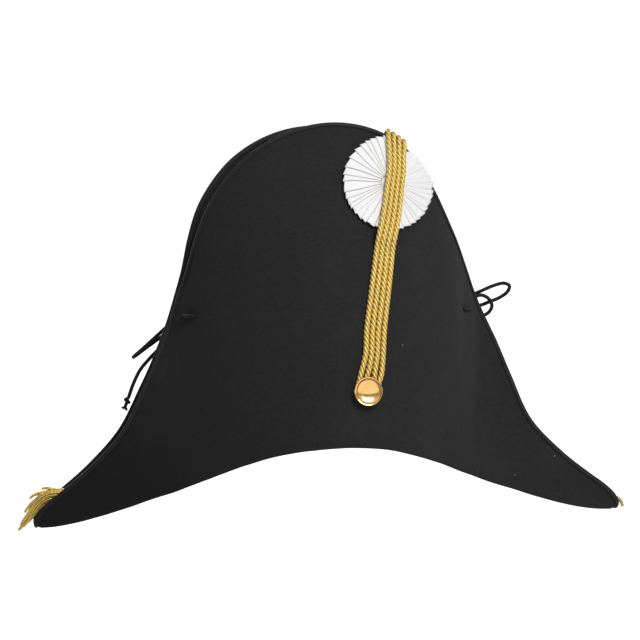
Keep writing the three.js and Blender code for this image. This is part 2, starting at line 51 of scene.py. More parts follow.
# ------------------------------------------------------------------ camera

CAMERA_TARGET = Vector((-0.0034, 0.0, 0.09))
CAMERA_AZIMUTH = math.radians(-6.9)
CAMERA_ELEVATION = math.radians(2.5)
CAMERA_ROLL = math.radians(-1.2)
CAMERA_DISTANCE = 2.5
CAMERA_LENS = 183.2
SENSOR_WIDTH = 36.0
FARTHEST_SEEN = 50.0


def place_camera():
    level = math.cos(CAMERA_ELEVATION)
    back = Vector(
        (
            math.sin(CAMERA_AZIMUTH) * level,
            -math.cos(CAMERA_AZIMUTH) * level,
            math.sin(CAMERA_ELEVATION),
        )
    )
    camera = bpy.data.objects.new("camera", bpy.data.cameras.new("camera"))
    bpy.context.scene.collection.objects.link(camera)
    camera.data.sensor_width = SENSOR_WIDTH
    camera.data.lens = CAMERA_LENS
    camera.data.clip_end = FARTHEST_SEEN
    camera.location = CAMERA_TARGET + back * CAMERA_DISTANCE
    camera.rotation_mode = "QUATERNION"
    look = (-back).to_track_quat("-Z", "Y")
    camera.rotation_quaternion = look @ Quaternion((0.0, 0.0, 1.0), CAMERA_ROLL)
    bpy.context.scene.camera = camera


# ------------------------------------------------------------------ curves


CURVE_POWER = 0.25  # of a gap's square; it keeps a curve from looping between close points


def through(points, places, closed=False):
    """Points at the given places of a smooth curve; place 2.5 is halfway from point 2 to point 3."""
    points = np.asarray(points, float)
    places = np.asarray(places, float)
    count = len(points)
    if closed:
        index = np.floor(places).astype(int)
        corners = [points[(index + k) % count] for k in (-1, 0, 1, 2)]
    else:
        index = np.clip(np.floor(places).astype(int), 0, count - 2)
        before = 2 * points[:1] - points[1:2]
        after = 2 * points[-1:] - points[-2:-1]
        padded = np.concatenate([before, points, after])
        corners = [padded[index + k] for k in (0, 1, 2, 3)]
    share = (places - index)[..., None]
    p0, p1, p2, p3 = corners

    def reach(a, b):
        return np.maximum(((b - a) ** 2).sum(-1), 1e-12)[..., None] ** CURVE_POWER

    d0, d1, d2 = reach(p0, p1), reach(p1, p2), reach(p2, p3)
    start = d1 * ((p1 - p0) / d0 - (p2 - p0) / (d0 + d1) + (p2 - p1) / d1)
    end = d1 * ((p2 - p1) / d1 - (p3 - p1) / (d1 + d2) + (p3 - p2) / d2)
    square = -3 * p1 + 3 * p2 - 2 * start - end
    cube = 2 * p1 - 2 * p2 + start + end
    return p1 + share * (start + share * (square + share * cube))


def smoothstep(value, low, high):
    t = np.clip((value - low) / (high - low), 0, 1)
    return t * t * (3 - 2 * t)


def lengths_along(line):
    """How far along the line each of its points is."""
    return np.concatenate([[0], np.cumsum(np.linalg.norm(np.diff(line, axis=0), axis=1))])


def evenly(line, step):
    """The line again, with points one step apart along it."""
    along = lengths_along(line)
    count = max(3, int(round(along[-1] / step)) + 1)
    at = np.linspace(0, along[-1], count)
    return np.stack([np.interp(at, along, line[:, k]) for k in range(3)], axis=1)


def smooth_route(points, step):
    """A smooth line through the points, in even steps."""
    spans = len(points) - 1
    places = np.linspace(0, spans, 40 * spans + 1)
    return evenly(through(points, places), step)


def unit(vectors):
    size = np.linalg.norm(vectors, axis=-1, keepdims=True)
    return vectors / np.maximum(size, 1e-12)


# ------------------------------------------------------------------ the felt's tables

FELT = 2.4
CROWN = {"half_width": 82, "half_length": 100, "height": 116, "rim_drop": 16, "fold_radius": 4}
DOME = {"side": 0.62, "top": 0.8}

# Each row is a section of the front right quarter: the fold's X, depth and Z, the edge's X, depth
# and Z, and how far the flap bellies out between them.
SECTIONS = np.array(
    [
        [0, 106, 1.2, 0, 62, 239, 9],
        [24, 102, -0.6, 32.5, 60, 233, 9],
        [47, 91, -5.5, 60.5, 55, 216, 8],
        [67, 76, -12.5, 82.4, 46, 187, 7],
        [83, 63, -19, 96.7, 33, 156, 5],
        [95, 54, -24, 107.2, 17.5, 126, 3],
        [106, 46, -28.4, 117.2, 9, 99, 0],
        [123, 35.5, -36, 128.7, 9.5, 72, 0],
        [144, 25.5, -43.2, 141.2, 13, 42.5, 0],
        [166, 17.5, -50.8, 157.2, 15, 9.5, 0],
        [187, 12, -57, 181.3, 13, -16.5, 0],
        [202, 9, -60, 202, 10.5, -33.5, 0],
        [211.5, 7, -61, 215, 9, -43.4, 0],
        [216, 5.6, -61.4, 222.2, 7.4, -50.6, 0],
        [219, 3.6, -61.6, 225.2, 5.4, -56.2, 0],
        [220.5, 0, -61.8, 225, 0, -60.2, 0],
    ]
)
HEAD_END = 6
NOSE = len(SECTIONS) - 1
# The middle of each horn's underside, from the side of the head opening to the nose.
KEEL = [
    [82, 0, -16],
    [104, 0, -24],
    [130, 0, -35],
    [155, 0, -45],
    [180, 0, -53.6],
    [195, 0, -58],
    [203, 0, -60],
    [207.5, 0, -60.6],
    [210, 0, -60.8],
    [212, 0, -61],
]
# Each height of the hat stands a little to one side: Z and the shift in X.
LEAN = np.array([[-70, 0.3], [5, -0.8], [70, 1.6], [120, 0], [180, -3.6], [260, 3]])


def lean_at(z):
    z = np.clip(z, LEAN[0, 0], LEAN[-1, 0] - 1e-6)
    upper = np.searchsorted(LEAN[:, 0], z, side="right")
    low, high = LEAN[upper - 1], LEAN[upper]
    share = (z - low[..., 0]) / (high[..., 0] - low[..., 0])
    return low[..., 1] + (high[..., 1] - low[..., 1]) * share**2 * (3 - 2 * share)


def leaned(points):
    moved = points.copy()
    moved[..., 0] += lean_at(points[..., 2])
    return moved


def closed_loop(quarter):
    inner, outer = quarter[:-1], quarter[:0:-1]
    return np.concatenate(
        [inner, outer * [1, -1, 1], inner * [-1, -1, 1], outer * [-1, 1, 1]]
    )


FOLD_LOOP = closed_loop(SECTIONS[:, 0:3] * [1, -1, 1])
EDGE_LOOP = closed_loop(SECTIONS[:, 3:6] * [1, -1, 1])


def fold_at(section):
    return through(FOLD_LOOP, section, closed=True)


def edge_at(section):
    return through(EDGE_LOOP, section, closed=True)


def flap_point(section, share):
    """A point of the right front flap, from the fold at share 0 to the edge at share 1."""
    belly = np.interp(section, np.arange(NOSE + 1), SECTIONS[:, 6])
    point = fold_at(section) + (edge_at(section) - fold_at(section)) * share[..., None]
    point[..., 1] -= belly * 4 * share * (1 - share)
    return point


def rim_point(section):
    angle = math.pi / 2 * (1 - section / HEAD_END)
    return np.stack(
        [
            CROWN["half_width"] * np.cos(angle),
            -CROWN["half_length"] * np.sin(angle),
            -CROWN["rim_drop"] * np.cos(angle) ** 2,
        ],
        axis=-1,
    )


# ------------------------------------------------------------------ places on the front flap


def front_flap(x, z):
    """The front flap's middle surface at each X and Z, before it leans."""
    low, high = np.zeros_like(x), np.full_like(x, HEAD_END)

    def share_at(section):
        fold, edge = fold_at(section), edge_at(section)
        return (z - fold[..., 2]) / (edge[..., 2] - fold[..., 2])

    for _ in range(30):
        middle = (low + high) / 2
        short = flap_point(middle, share_at(middle))[..., 0] < np.abs(x)
        low, high = np.where(short, middle, low), np.where(short, high, middle)
    point = flap_point(low, share_at(low))
    point[..., 0] *= np.where(x < 0, -1, 1)
    return point


def on_front(x, z, height):
    """Points at a height over the outside of the front flap; below zero is a depth inside it."""
    x, z, height = np.broadcast_arrays(*(np.asarray(v, float) for v in (x, z, height)))
    even = x - lean_at(z)
    across_x = front_flap(even + 1, z) - front_flap(even - 1, z)
    across_z = front_flap(even, z + 1) - front_flap(even, z - 1)
    normal = unit(np.cross(across_x, across_z))
    lift = np.sign(height) * FELT / 2 + height
    return leaned(front_flap(even, z) + normal * lift[..., None])


# ------------------------------------------------------------------ meshes


def mesh_object(name, points, faces, uv=None):
    """A mesh from points in millimetres; points that fall together become one."""
    keys, kept = np.unique(np.round(points, 4), axis=0, return_inverse=True)
    kept = kept.ravel()
    polygons, corners = [], []
    for face in faces:
        merged = [int(kept[i]) for i in face]
        keep = [k for k in range(len(merged)) if merged[k] != merged[k - 1]]
        if len(keep) > 2:
            polygons.append([merged[k] for k in keep])
            corners.append([face[k] for k in keep])
    mesh = bpy.data.meshes.new(name)
    mesh.from_pydata((keys * MM).tolist(), [], polygons)
    if uv is not None:
        layer = mesh.uv_layers.new(name="along")
        flat = [c for face in corners for c in face]
        layer.data.foreach_set("uv", np.asarray(uv, np.float32)[flat].ravel())
    mesh.validate()
    mesh.polygons.foreach_set("use_smooth", [True] * len(mesh.polygons))
    mesh.update()
    piece = bpy.data.objects.new(name, mesh)
    bpy.context.scene.collection.objects.link(piece)
    return piece


def grid_faces(rows, columns, flip=False, wrap=False):
    """The quads of a grid whose points are numbered row by row."""
    faces = []
    for i in range(rows - 1):
        for j in range(columns if wrap else columns - 1):
            k = (j + 1) % columns
            a, b = i * columns + j, i * columns + k
            c, d = b + columns, a + columns
            faces.append([a, d, c, b] if flip else [a, b, c, d])
    return faces


def apply_modifier(piece, kind, **settings):
    modifier = piece.modifiers.new(kind.lower(), kind)
    for key, value in settings.items():
        setattr(modifier, key, value)
    bpy.context.view_layer.objects.active = piece
    piece.select_set(True)
    bpy.ops.object.modifier_apply(modifier=modifier.name)
    piece.select_set(False)


def travelling_frames(line):
    """The direction of a line at each point, and two directions across it that never spin."""
    tangent = unit(np.gradient(line, axis=0))
    side = np.zeros_like(line)
    first = np.cross(tangent[0], [0.0, 0.0, 1.0])
    if np.linalg.norm(first) < 0.1:
        first = np.cross(tangent[0], [0.0, 1.0, 0.0])
    side[0] = unit(first)
    for i in range(1, len(line)):
        side[i] = unit(side[i - 1] - tangent[i] * (side[i - 1] @ tangent[i]))
    return tangent, side, np.cross(tangent, side)


CAP_RINGS = (0.98, 0.8, 0.45, 0.0)  # shares of a cap's reach, from its tip to its foot


def tube(line, radius_at, sides, twist=0.0, scale=None, rounded=1.0):
    """Points, faces and UV of a tube along a line in millimetres, with rounded closed ends.

    radius_at gives the radius at each angle of the section, and scale the section's size at each
    point of the line. The section turns by twist radians a millimetre, and each end bulges by the
    rounded share of its radius. UV runs round the section and along the line in centimetres.
    """
    tangent, side, up = travelling_frames(line)
    along = lengths_along(line)
    scale = np.ones(len(line)) if scale is None else np.asarray(scale, float)
    angles = 2 * math.pi * np.arange(sides + 1) / sides
    radius = radius_at(angles)
    end_reach = rounded * float(radius.mean())
    final = len(line) - 1
    caps = [(share * end_reach, math.sqrt(1 - share**2)) for share in CAP_RINGS]
    stations = [(0, -reach * scale[0], shrink) for reach, shrink in caps]
    stations += [(i, 0.0, 1.0) for i in range(1, final)]
    stations += [(final, reach * scale[-1], shrink) for reach, shrink in reversed(caps)]
    points, uv = [], []
    for i, shift, shrink in stations:
        turned = angles + twist * (along[i] + shift)
        ring = side[i] * np.cos(turned)[:, None] + up[i] * np.sin(turned)[:, None]
        ring = ring * (radius * shrink * scale[i])[:, None]
        points.append(line[i] + tangent[i] * shift + ring)
        centimetres = np.full(sides + 1, (along[i] + shift) / 10)
        uv.append(np.stack([angles / (2 * math.pi), centimetres], -1))
    count = len(stations)
    first = list(range(sides))[::-1]
    last = [(count - 1) * (sides + 1) + j for j in range(sides)]
    faces = [*grid_faces(count, sides + 1), first, last]
    return np.concatenate(points), faces, np.concatenate(uv)


def joined(parts):
    """Several lots of points, faces and UV as one; each lot's faces start at its own zero."""
    points, faces, uv, start = [], [], [], 0
    for part_points, part_faces, part_uv in parts:
        points.append(part_points)
        faces += [[i + start for i in face] for face in part_faces]
        uv.append(part_uv)
        start += len(part_points)
    return np.concatenate(points), faces, np.concatenate(uv)


def round_section(radius):
    return lambda angles: np.full(len(angles), float(radius))


STRAND_ROUNDNESS = 0.8


def stranded_section(radius, strands, depth):
    """A section of several strands laid together; depth is how far the grooves go in."""

    def radius_at(angles):
        crest = np.abs(np.cos(strands * angles / 2)) ** STRAND_ROUNDNESS
        return radius * (1 - depth * (1 - crest))

    return radius_at


# ------------------------------------------------------------------ felt shell

CROWN_ANGLES = np.radians(np.linspace(90, 8, 20))
FLOOR_ROWS = 9
FLAP_ROWS = 36
COLUMNS_PER_SECTION = 8
QUARTERS = [(1, 1), (-1, 1), (1, -1), (-1, -1)]
HEM_ROWS = (8.5, 7.0, 5.8, 4.8, 4.1, 3.4, 2.6, 1.4, 0.0)  # distances from the edge
HEM_GROOVE = {"at": 3.5, "width": 0.95, "depth": 0.5}  # the felt is drawn in beside the tape
# The felt's soft waves: their lengths, how much the short ones count, how high they stand, and
# how far from the taped edge they begin.
WAVES = {"long": 38, "short": 13, "short_share": 0.4, "height": 0.55, "from_edge": 9}
# The felt is drawn in round each lace hole, and along creases of this slope and reach beside it.
DIMPLE = {"depth": 0.55, "width": 3.0}
CREASE = {"depth": 0.3, "width": 1.8, "start": 1, "begins": (-3, 1)}
CREASES = ((-0.55, 11), (0.32, 8))


def bend(before, corner, after, count):
    """The rows of a rounded corner, without its first and last point."""
    rows = []
    for t in np.linspace(0, 1, count + 2)[1:-1]:
        rows.append(before * (1 - t) ** 2 + corner * 2 * t * (1 - t) + after * t**2)
    return rows


def brim_rows(section):
    """The head opening's rim or the keel, and the brim's rows from there to the edge."""
    on_head = section <= HEAD_END
    keel = through(KEEL, np.clip(section - HEAD_END, 0, NOSE - HEAD_END))
    inner = np.where(on_head[:, None], rim_point(np.minimum(section, HEAD_END)), keel)
    fold, edge = fold_at(section), edge_at(section)
    length = np.linalg.norm(fold - inner, axis=1)
    radius = np.minimum(CROWN["fold_radius"], 0.45 * length)
    height = np.maximum(np.linalg.norm(edge - fold, axis=1), 1e-6)
    up_share = np.minimum(radius / height, 0.1)
    arch = np.clip(section - HEAD_END, 0, 1)

    def floor_at(a):
        point = inner + (fold - inner) * a[:, None]
        eased = arch * (a**2 * (2 - a) - a)
        point[:, 2] += (fold - inner)[:, 2] * eased
        return point

    first = np.where(on_head, radius / np.maximum(length, 1e-6), 0)
    last = 1 - radius / np.maximum(length, 1e-6)
    floor = [floor_at(first + (last - first) * t) for t in np.linspace(0, 1, FLOOR_ROWS)]
    hem = np.minimum(HEM_ROWS[0] / height, 0.5)
    flap = []
    for t in np.linspace(0, 1, FLAP_ROWS):
        flap.append(flap_point(section, up_share + (1 - hem - up_share) * t))
    flap += [flap_point(section, 1 - hem * down / HEM_ROWS[0]) for down in HEM_ROWS[1:]]
    return inner, [*floor, *bend(floor[-1], fold, flap[0], 4), *flap]


def crown_rows(section):
    rim = rim_point(section)
    rows = []
    for angle in CROWN_ANGLES:
        width = max(math.cos(angle), 0) ** DOME["side"] if angle < math.pi / 2 - 1e-6 else 0
        height = math.sin(angle) ** DOME["top"]
        row = rim * [width, width, 1 - height]
        row[:, 2] += CROWN["height"] * height
        rows.append(row)
    return rows


def quartered(rows):
    """A grid of the front right quarter and its three mirror images, leaned."""
    grid = np.stack(rows)
    parts = []
    for sign_x, sign_y in QUARTERS:
        points = leaned(grid * [sign_x, sign_y, 1]).reshape(-1, 3)
        faces = grid_faces(*grid.shape[:2], flip=sign_x * sign_y < 0)
        parts.append((points, faces, np.zeros((len(points), 2))))
    return joined(parts)


def from_edge(points):
    """The distance of each point from the brim's edge."""
    places = np.linspace(0, 4 * NOSE, 3000, endpoint=False)
    line = leaned(through(EDGE_LOOP, places, closed=True))
    tree = kdtree.KDTree(len(line))
    for i, place in enumerate(line):
        tree.insert(place, i)
    tree.balance()
    return np.array([tree.find(place)[2] for place in points])


LACE = {"diameter": 2.4, "fluffed": 2.85, "step": 0.6, "hole_x": (102.8, 109.2), "hole_z": 97}


def lace_pucker(points):
    """How deep the felt is pulled in round the lace holes and along two creases beside them."""
    depth = np.zeros(len(points))
    for side in (-1, 1):
        for sign_y in (-1, 1):
            near = points[:, 1] * sign_y < 0
            up = points[:, 2] - LACE["hole_z"]
            for x in LACE["hole_x"]:
                across = points[:, 0] - side * x
                dip = np.exp(-(across**2 + up**2) / DIMPLE["width"] ** 2)
                depth += near * DIMPLE["depth"] * dip
            away = LACE["hole_x"][0] - CREASE["start"] - side * points[:, 0]
            for slope, reach in CREASES:
                along = smoothstep(away, *CREASE["begins"]) * (1 - smoothstep(away, 3, reach))
                ridge = np.exp(-(((up - slope * away) / CREASE["width"]) ** 2))
                depth += near * CREASE["depth"] * along * ridge
    return depth


def felt_shell():
    """The whole felt as one sheet made thick: crown, brim floor, flaps and horns."""
    head = np.linspace(0, HEAD_END, HEAD_END * COLUMNS_PER_SECTION + 1)
    horn = np.linspace(HEAD_END, NOSE, (NOSE - HEAD_END) * COLUMNS_PER_SECTION + 1)
    rim, brim = brim_rows(head)
    crown = crown_rows(head)
    middle = quartered([*crown, *bend(crown[-1], rim, brim[0], 3), *brim])
    points, faces, _ = joined([middle, quartered(brim_rows(horn)[1])])
    shell = mesh_object("felt_shell", points, faces)
    mesh = shell.data
    count = len(mesh.vertices)
    place, normal = np.zeros(count * 3, np.float32), np.zeros(count * 3, np.float32)
    mesh.vertices.foreach_get("co", place)
    mesh.vertices.foreach_get("normal", normal)
    place, normal = place.reshape(-1, 3).astype(float) / MM, normal.reshape(-1, 3)
    down = from_edge(place)
    calm = 1 - np.exp(-((down / WAVES["from_edge"]) ** 2))
    long_waves = np.array([noise.noise(Vector(p) / WAVES["long"]) for p in place])
    short_waves = np.array([noise.noise(Vector(p) / WAVES["short"]) for p in place])
    shift = calm * WAVES["height"] * (long_waves + WAVES["short_share"] * short_waves)
    groove = np.exp(-(((down - HEM_GROOVE["at"]) / HEM_GROOVE["width"]) ** 2))
    pucker = lace_pucker(place) + HEM_GROOVE["depth"] * groove
    outward = np.sign(normal[:, 1] * place[:, 1])
    shift -= outward * pucker
    place += normal * shift[:, None]
    mesh.vertices.foreach_set("co", (place * MM).astype(np.float32).ravel())
    mesh.update()
    apply_modifier(shell, "SOLIDIFY", thickness=FELT * MM, offset=0.0, use_even_offset=False)
    return shell


# ------------------------------------------------------------------ edge binding

# Half of the tape's folded section: out from the felt's middle and up from its edge.
BINDING_OUTER = [(-2.0, -2.1), (-2.2, -1.3), (-2.2, -0.3), (-1.85, 0.6), (-1.05, 1.0), (0, 1.1)]
BINDING_INNER = [(1.6, -2.1), (1.75, -0.9), (1.5, 0.25)]
STITCH = {"spacing": 3.1, "length": 1.7, "radius": 0.22, "up": -1.4, "out": 2.15}
STITCH |= {"slant": 0.18, "sink": 0.3}
STITCH_PULL = {"depth": 0.12, "width": 0.9}  # each stitch draws the tape in beside it
TAPE_STEP = 0.8
# How far the tape's lower edges wander, at what pace, and over how many steps that fades out
# at the join.
TAPE_DRIFT = {"reach": 0.35, "pace": 0.021, "fade": 60}


def edge_line(step):
    """Points all round the brim's edge, with the directions out of the felt and up from it."""
    dense = np.linspace(0, 4 * NOSE, 6001)
    line = leaned(through(EDGE_LOOP, dense, closed=True))
    along = lengths_along(line)
    count = int(round(along[-1] / step))
    places = np.interp(np.linspace(0, along[-1], count, endpoint=False), along, dense)
    quarter = (places // NOSE).astype(int) % 4
    within = places % NOSE
    section = np.where(quarter % 2 == 0, within, NOSE - within)
    sign_x = np.where((quarter == 0) | (quarter == 1), 1, -1)
    sign_y = np.where((quarter == 0) | (quarter == 3), 1, -1)
    signs = np.stack([sign_x, sign_y, np.ones_like(sign_x)], -1)
    edge = leaned(edge_at(section) * signs)
    below = leaned(flap_point(section, np.full(len(section), 0.93)) * signs)
    up = unit(edge - below)
    up = unit(sum(np.roll(up, k, axis=0) for k in range(-3, 4)))
    forward = unit(np.roll(edge, -1, axis=0) - np.roll(edge, 1, axis=0))
    out = unit(np.cross(forward, up))
    return edge, unit(np.cross(out, forward)), out, along[-1]


def binding_tape():
    edge, up, out, length = edge_line(TAPE_STEP)
    outer = BINDING_OUTER + [(-n, u) for n, u in BINDING_OUTER[-2::-1]]
    inner = [*BINDING_INNER, (0, 0.6), *[(-n, u) for n, u in BINDING_INNER[::-1]]]
    section = np.array(outer + inner)
    count = len(edge)
    phase = np.arange(count) * length / count / STITCH["spacing"] * 2 * math.pi
    pull = STITCH_PULL["depth"] * (1 - np.cos(phase))
    pace = TAPE_DRIFT["pace"]
    drift = np.array([noise.noise(Vector((i * pace, 3.0, 0.0))) for i in range(count)])
    from_join = np.minimum(np.arange(count), count - np.arange(count))
    drift *= TAPE_DRIFT["reach"] * np.minimum(1, from_join / TAPE_DRIFT["fade"])
    rings = []
    for n, u in section:
        near_stitch = np.exp(-(((u - STITCH["up"]) / STITCH_PULL["width"]) ** 2))
        on_outside = abs(n) > 1.95
        across = n - np.sign(n) * pull * near_stitch * on_outside
        lift = u + drift * (u < -2)
        rings.append(edge + out * across[:, None] + up * lift[:, None])
    columns = len(section)
    points = np.stack(rings, axis=1).reshape(-1, 3)
    closed = np.concatenate([points, points[:columns]])
    faces = grid_faces(count + 1, columns, wrap=True)
    across = np.arange(columns) / columns
    along = np.arange(count + 1) * length / count / 10
    uv = np.stack(np.broadcast_arrays(across[None, :], along[:, None]), -1).reshape(-1, 2)
    return mesh_object("binding_tape", closed, faces, uv)


def binding_stitches():
    """One short thread after another along both sides of the tape."""
    edge, up, out, _ = edge_line(STITCH["spacing"])
    parts = []
    section = round_section(STITCH["radius"])
    for side in (-1, 1):
        for i in range(len(edge)):
            forward = unit(edge[(i + 1) % len(edge)] - edge[i - 1])
            slant = STITCH["slant"] * math.sin(i * GOLDEN_ANGLE)
            middle = edge[i] + up[i] * STITCH["up"] + out[i] * side * STITCH["out"]
            half = (forward + up[i] * slant) * STITCH["length"] / 2
            sink = out[i] * side * -STITCH["sink"]
            line = np.array([middle - half + sink, middle, middle + half + sink])
            parts.append(tube(line, section, 6, rounded=0.6))
    return mesh_object("binding_stitches", *joined(parts))


# ------------------------------------------------------------------ cockade

COCKADE = {"x": 41, "z": 193.4, "radius": 35.4, "inner": 6, "pleats": 40, "low": 2.3, "rise": 1.2}
COCKADE_TOP = 4.1
COCKADE_RINGS = 22
PLEAT_LENGTH = 10.3  # ribbon taken up by one pleat
# How much the pleats differ in width, in how far out they reach, in how high their rims stand
# and in how they bend, how far they puff up, and how far the hidden fold lies under the ribbon.
PLEATS = {"width": 0.5, "reach": 0.035, "flat": 0.55, "sway": 0.09, "puff": 0.35, "under": 0.16}
TOP_FOLD = np.linspace(0, 1, 8)  # places across a pleat's upper side
HIDDEN_FOLD = (0.93, 0.6, 0.25)  # and across the fold under it, on the way back
RISE_AT_MIDDLE = 0.82
SCALLOP = 0.045  # share of the radius between two pleats' rims that the scallops take
RIBBON_THICKNESS = 0.2
PAD = {"radius": 30.5, "thickness": 0.8, "bevel": 0.3, "height": 1.2}
PAD_RINGS = (4.5, 5, 5, 5, 5)  # widths of the pad's rings, from its rim inward
CREST_X = 48.5  # where the gold cords go over the flap's edge
# How far the cockade's rim may stand over the edge, beside the cords and under them.
OVERHANG = {"beside": 1.2, "under_cords": -3.2, "from": 7.5, "to": 10.5}


def edge_height(x):
    """The height of the front flap's edge at each X."""
    dense = leaned(edge_at(np.linspace(0, HEAD_END, 1200)))
    return np.interp(x, dense[:, 0], dense[:, 2])


def cockade_reach(angles):
    """How far the cockade reaches at each angle: its radius, or less where it meets the edge."""
    low, high = np.zeros(len(angles)), np.full(len(angles), COCKADE["radius"])
    for step in range(20):
        reach = high if step == 0 else (low + high) / 2
        at = COCKADE["x"] + reach * np.cos(angles)
        share = smoothstep(np.abs(at - CREST_X), OVERHANG["from"], OVERHANG["to"])
        limit = OVERHANG["under_cords"] + (OVERHANG["beside"] - OVERHANG["under_cords"]) * share
        inside = COCKADE["z"] + reach * np.sin(angles) <= edge_height(at) + limit
        inside |= np.sin(angles) <= 0
        low, high = np.where(inside, reach, low), np.where(inside, high, reach)
    return low


def cockade_pleats():
    """One ribbon laid in knife pleats round a centre: each pleat runs out over the next one,
    folds back under itself and starts again, and the ribbon's edge shows as scallops."""
    chance = np.random.default_rng(7)
    count = COCKADE["pleats"]
    share_of = 1 + PLEATS["width"] * (chance.random(count) - 0.5)
    width = 2 * math.pi * share_of / share_of.sum()
    start = np.concatenate([[0], np.cumsum(width)[:-1]])
    reach = 1 - PLEATS["reach"] * chance.random(count)
    lift = 1 - PLEATS["flat"] * chance.random(count)
    radii = np.linspace(COCKADE["inner"], COCKADE["radius"], COCKADE_RINGS)
    sway = PLEATS["sway"] * (chance.random((count, 3)) - 0.5)
    rings, uv = [], []
    for r in radii:
        share_out = (r - COCKADE["inner"]) / (COCKADE["radius"] - COCKADE["inner"])
        angles, heights, reaches = [], [], []
        for k in range(count):
            take = PLEAT_LENGTH * share_of[k]
            under = max((take - width[k] * r) / 2, 0) / r
            rise = COCKADE["rise"] * (RISE_AT_MIDDLE + (1 - RISE_AT_MIDDLE) * share_out)
            rise *= 1 - (1 - lift[k]) * share_out
            bent = sway[k, 0] * math.sin(3.1 * share_out) + sway[k, 1] * share_out**2
            for y in TOP_FOLD:
                angles.append(start[k] - under + y * (width[k] + under) + bent * y)
                puff = (PLEATS["puff"] + 4 * sway[k, 2]) * math.sin(math.pi * y) * share_out
                heights.append(rise * y + puff)
                reaches.append(1 - SCALLOP * (1 - y**1.5 * reach[k]))
            for y in HIDDEN_FOLD:
                angles.append(start[k] + width[k] - (1 - y) * under + bent)
                heights.append(rise * y - PLEATS["under"])
                reaches.append(1 - SCALLOP * (1 - y**1.5 * reach[k]))
        angles, heights = np.array(angles), np.array(heights)
        shrink = cockade_reach(angles) / COCKADE["radius"]
        out = r * shrink * (1 - (1 - np.array(reaches)) * share_out**4)
        x = COCKADE["x"] + out * np.cos(angles)
        z = COCKADE["z"] + out * np.sin(angles)
        rings.append(on_front(x, z, COCKADE["low"] + heights))
        ribbon = np.linspace(0, count * PLEAT_LENGTH / 10, len(x), endpoint=False)
        uv.append(np.stack([np.full(len(x), r / 10), ribbon], -1))
    faces = grid_faces(len(rings), len(rings[0]), wrap=True)
    pleats = mesh_object("cockade_pleats", np.concatenate(rings), faces, np.concatenate(uv))
    thickness = RIBBON_THICKNESS * MM
    apply_modifier(pleats, "SOLIDIFY", thickness=thickness, offset=0.0, use_even_offset=False)
    return pleats


def cockade_backing():
    """The round stiff pad that the pleats are sewn to, laid on the flap."""
    bpy.ops.mesh.primitive_circle_add(vertices=96, radius=PAD["radius"] * MM, fill_type="NGON")
    pad = bpy.context.object
    pad.name = "cockade_backing"
    bpy.ops.object.mode_set(mode="EDIT")
    bpy.ops.mesh.select_all(action="SELECT")
    for width in PAD_RINGS:
        bpy.ops.mesh.inset(thickness=width * MM)
    bpy.ops.mesh.select_all(action="SELECT")
    rise = (0, 0, PAD["thickness"] * MM)
    bpy.ops.mesh.extrude_region_move(TRANSFORM_OT_translate={"value": rise})
    bpy.ops.mesh.select_all(action="SELECT")
    bpy.ops.mesh.normals_make_consistent(inside=False)
    bpy.ops.object.mode_set(mode="OBJECT")
    apply_modifier(pad, "BEVEL", width=PAD["bevel"] * MM, segments=3, limit_method="ANGLE")
    place = np.array([v.co for v in pad.data.vertices]) / MM
    shrink = cockade_reach(np.arctan2(place[:, 1], place[:, 0])) / COCKADE["radius"]
    flat = place[:, :2] * shrink[:, None]
    height = PAD["height"] + place[:, 2]
    laid = on_front(COCKADE["x"] + flat[:, 0], COCKADE["z"] + flat[:, 1], height)
    pad.data.vertices.foreach_set("co", (laid * MM).astype(np.float32).ravel())
    pad.data.update()
    pad.select_set(False)
    return pad


# ------------------------------------------------------------------ button

BUTTON = {"x": 17, "z": 40.8}
# Radius and height over the felt, from the foot of the shank out round the rim and over the dome.
BUTTON_PROFILE = [
    (1.3, 0.3), (1.3, 4.6), (1.9, 5.0), (7.6, 4.9), (9.6, 4.9), (10.4, 5.05), (10.75, 5.45),
    (10.8, 5.85), (10.6, 6.2), (10.2, 6.42), (9.85, 6.5), (9.7, 6.62),
]
DOME_RISE = 3.95
DOME_TIP = 0.3  # radius of the last ring, which closes to a point


def turned(name, profile, segments):
    """A turned shape: a ring drawn out and scaled from each row of the profile to the next."""
    radius, height = profile[0]
    bpy.ops.mesh.primitive_circle_add(
        vertices=segments, radius=radius * MM, location=(0, 0, height * MM), fill_type="NOTHING"
    )
    piece = bpy.context.object
    piece.name = name
    bpy.ops.object.mode_set(mode="EDIT")
    bpy.ops.mesh.select_all(action="SELECT")
    for next_radius, next_height in profile[1:]:
        step = (0, 0, (next_height - height) * MM)
        bpy.ops.mesh.extrude_edges_move(TRANSFORM_OT_translate={"value": step})
        grow = next_radius / radius
        bpy.ops.transform.resize(value=(grow, grow, 1))
        radius, height = next_radius, next_height
    bpy.ops.mesh.merge(type="CENTER")
    bpy.ops.mesh.select_all(action="DESELECT")
    bpy.ops.object.mode_set(mode="OBJECT")
    lowest = min(v.co.z for v in piece.data.vertices)
    for v in piece.data.vertices:
        v.select = v.co.z < lowest + 1e-7
    bpy.ops.object.mode_set(mode="EDIT")
    bpy.ops.mesh.edge_face_add()
    bpy.ops.mesh.select_all(action="SELECT")
    bpy.ops.mesh.normals_make_consistent(inside=False)
    bpy.ops.object.mode_set(mode="OBJECT")
    bpy.ops.object.transform_apply(location=True, rotation=True, scale=True)
    bpy.ops.object.shade_smooth()
    piece.select_set(False)
    return piece


def stand_on_front(piece, x, z):
    foot = on_front(x, z, 0.001)
    outwards = Vector(on_front(x, z, 10.0) - foot).normalized()
    turn = outwards.to_track_quat("Z", "Y").to_matrix().to_4x4()
    piece.data.transform(Matrix.Translation(Vector(foot) * MM) @ turn)
    return piece


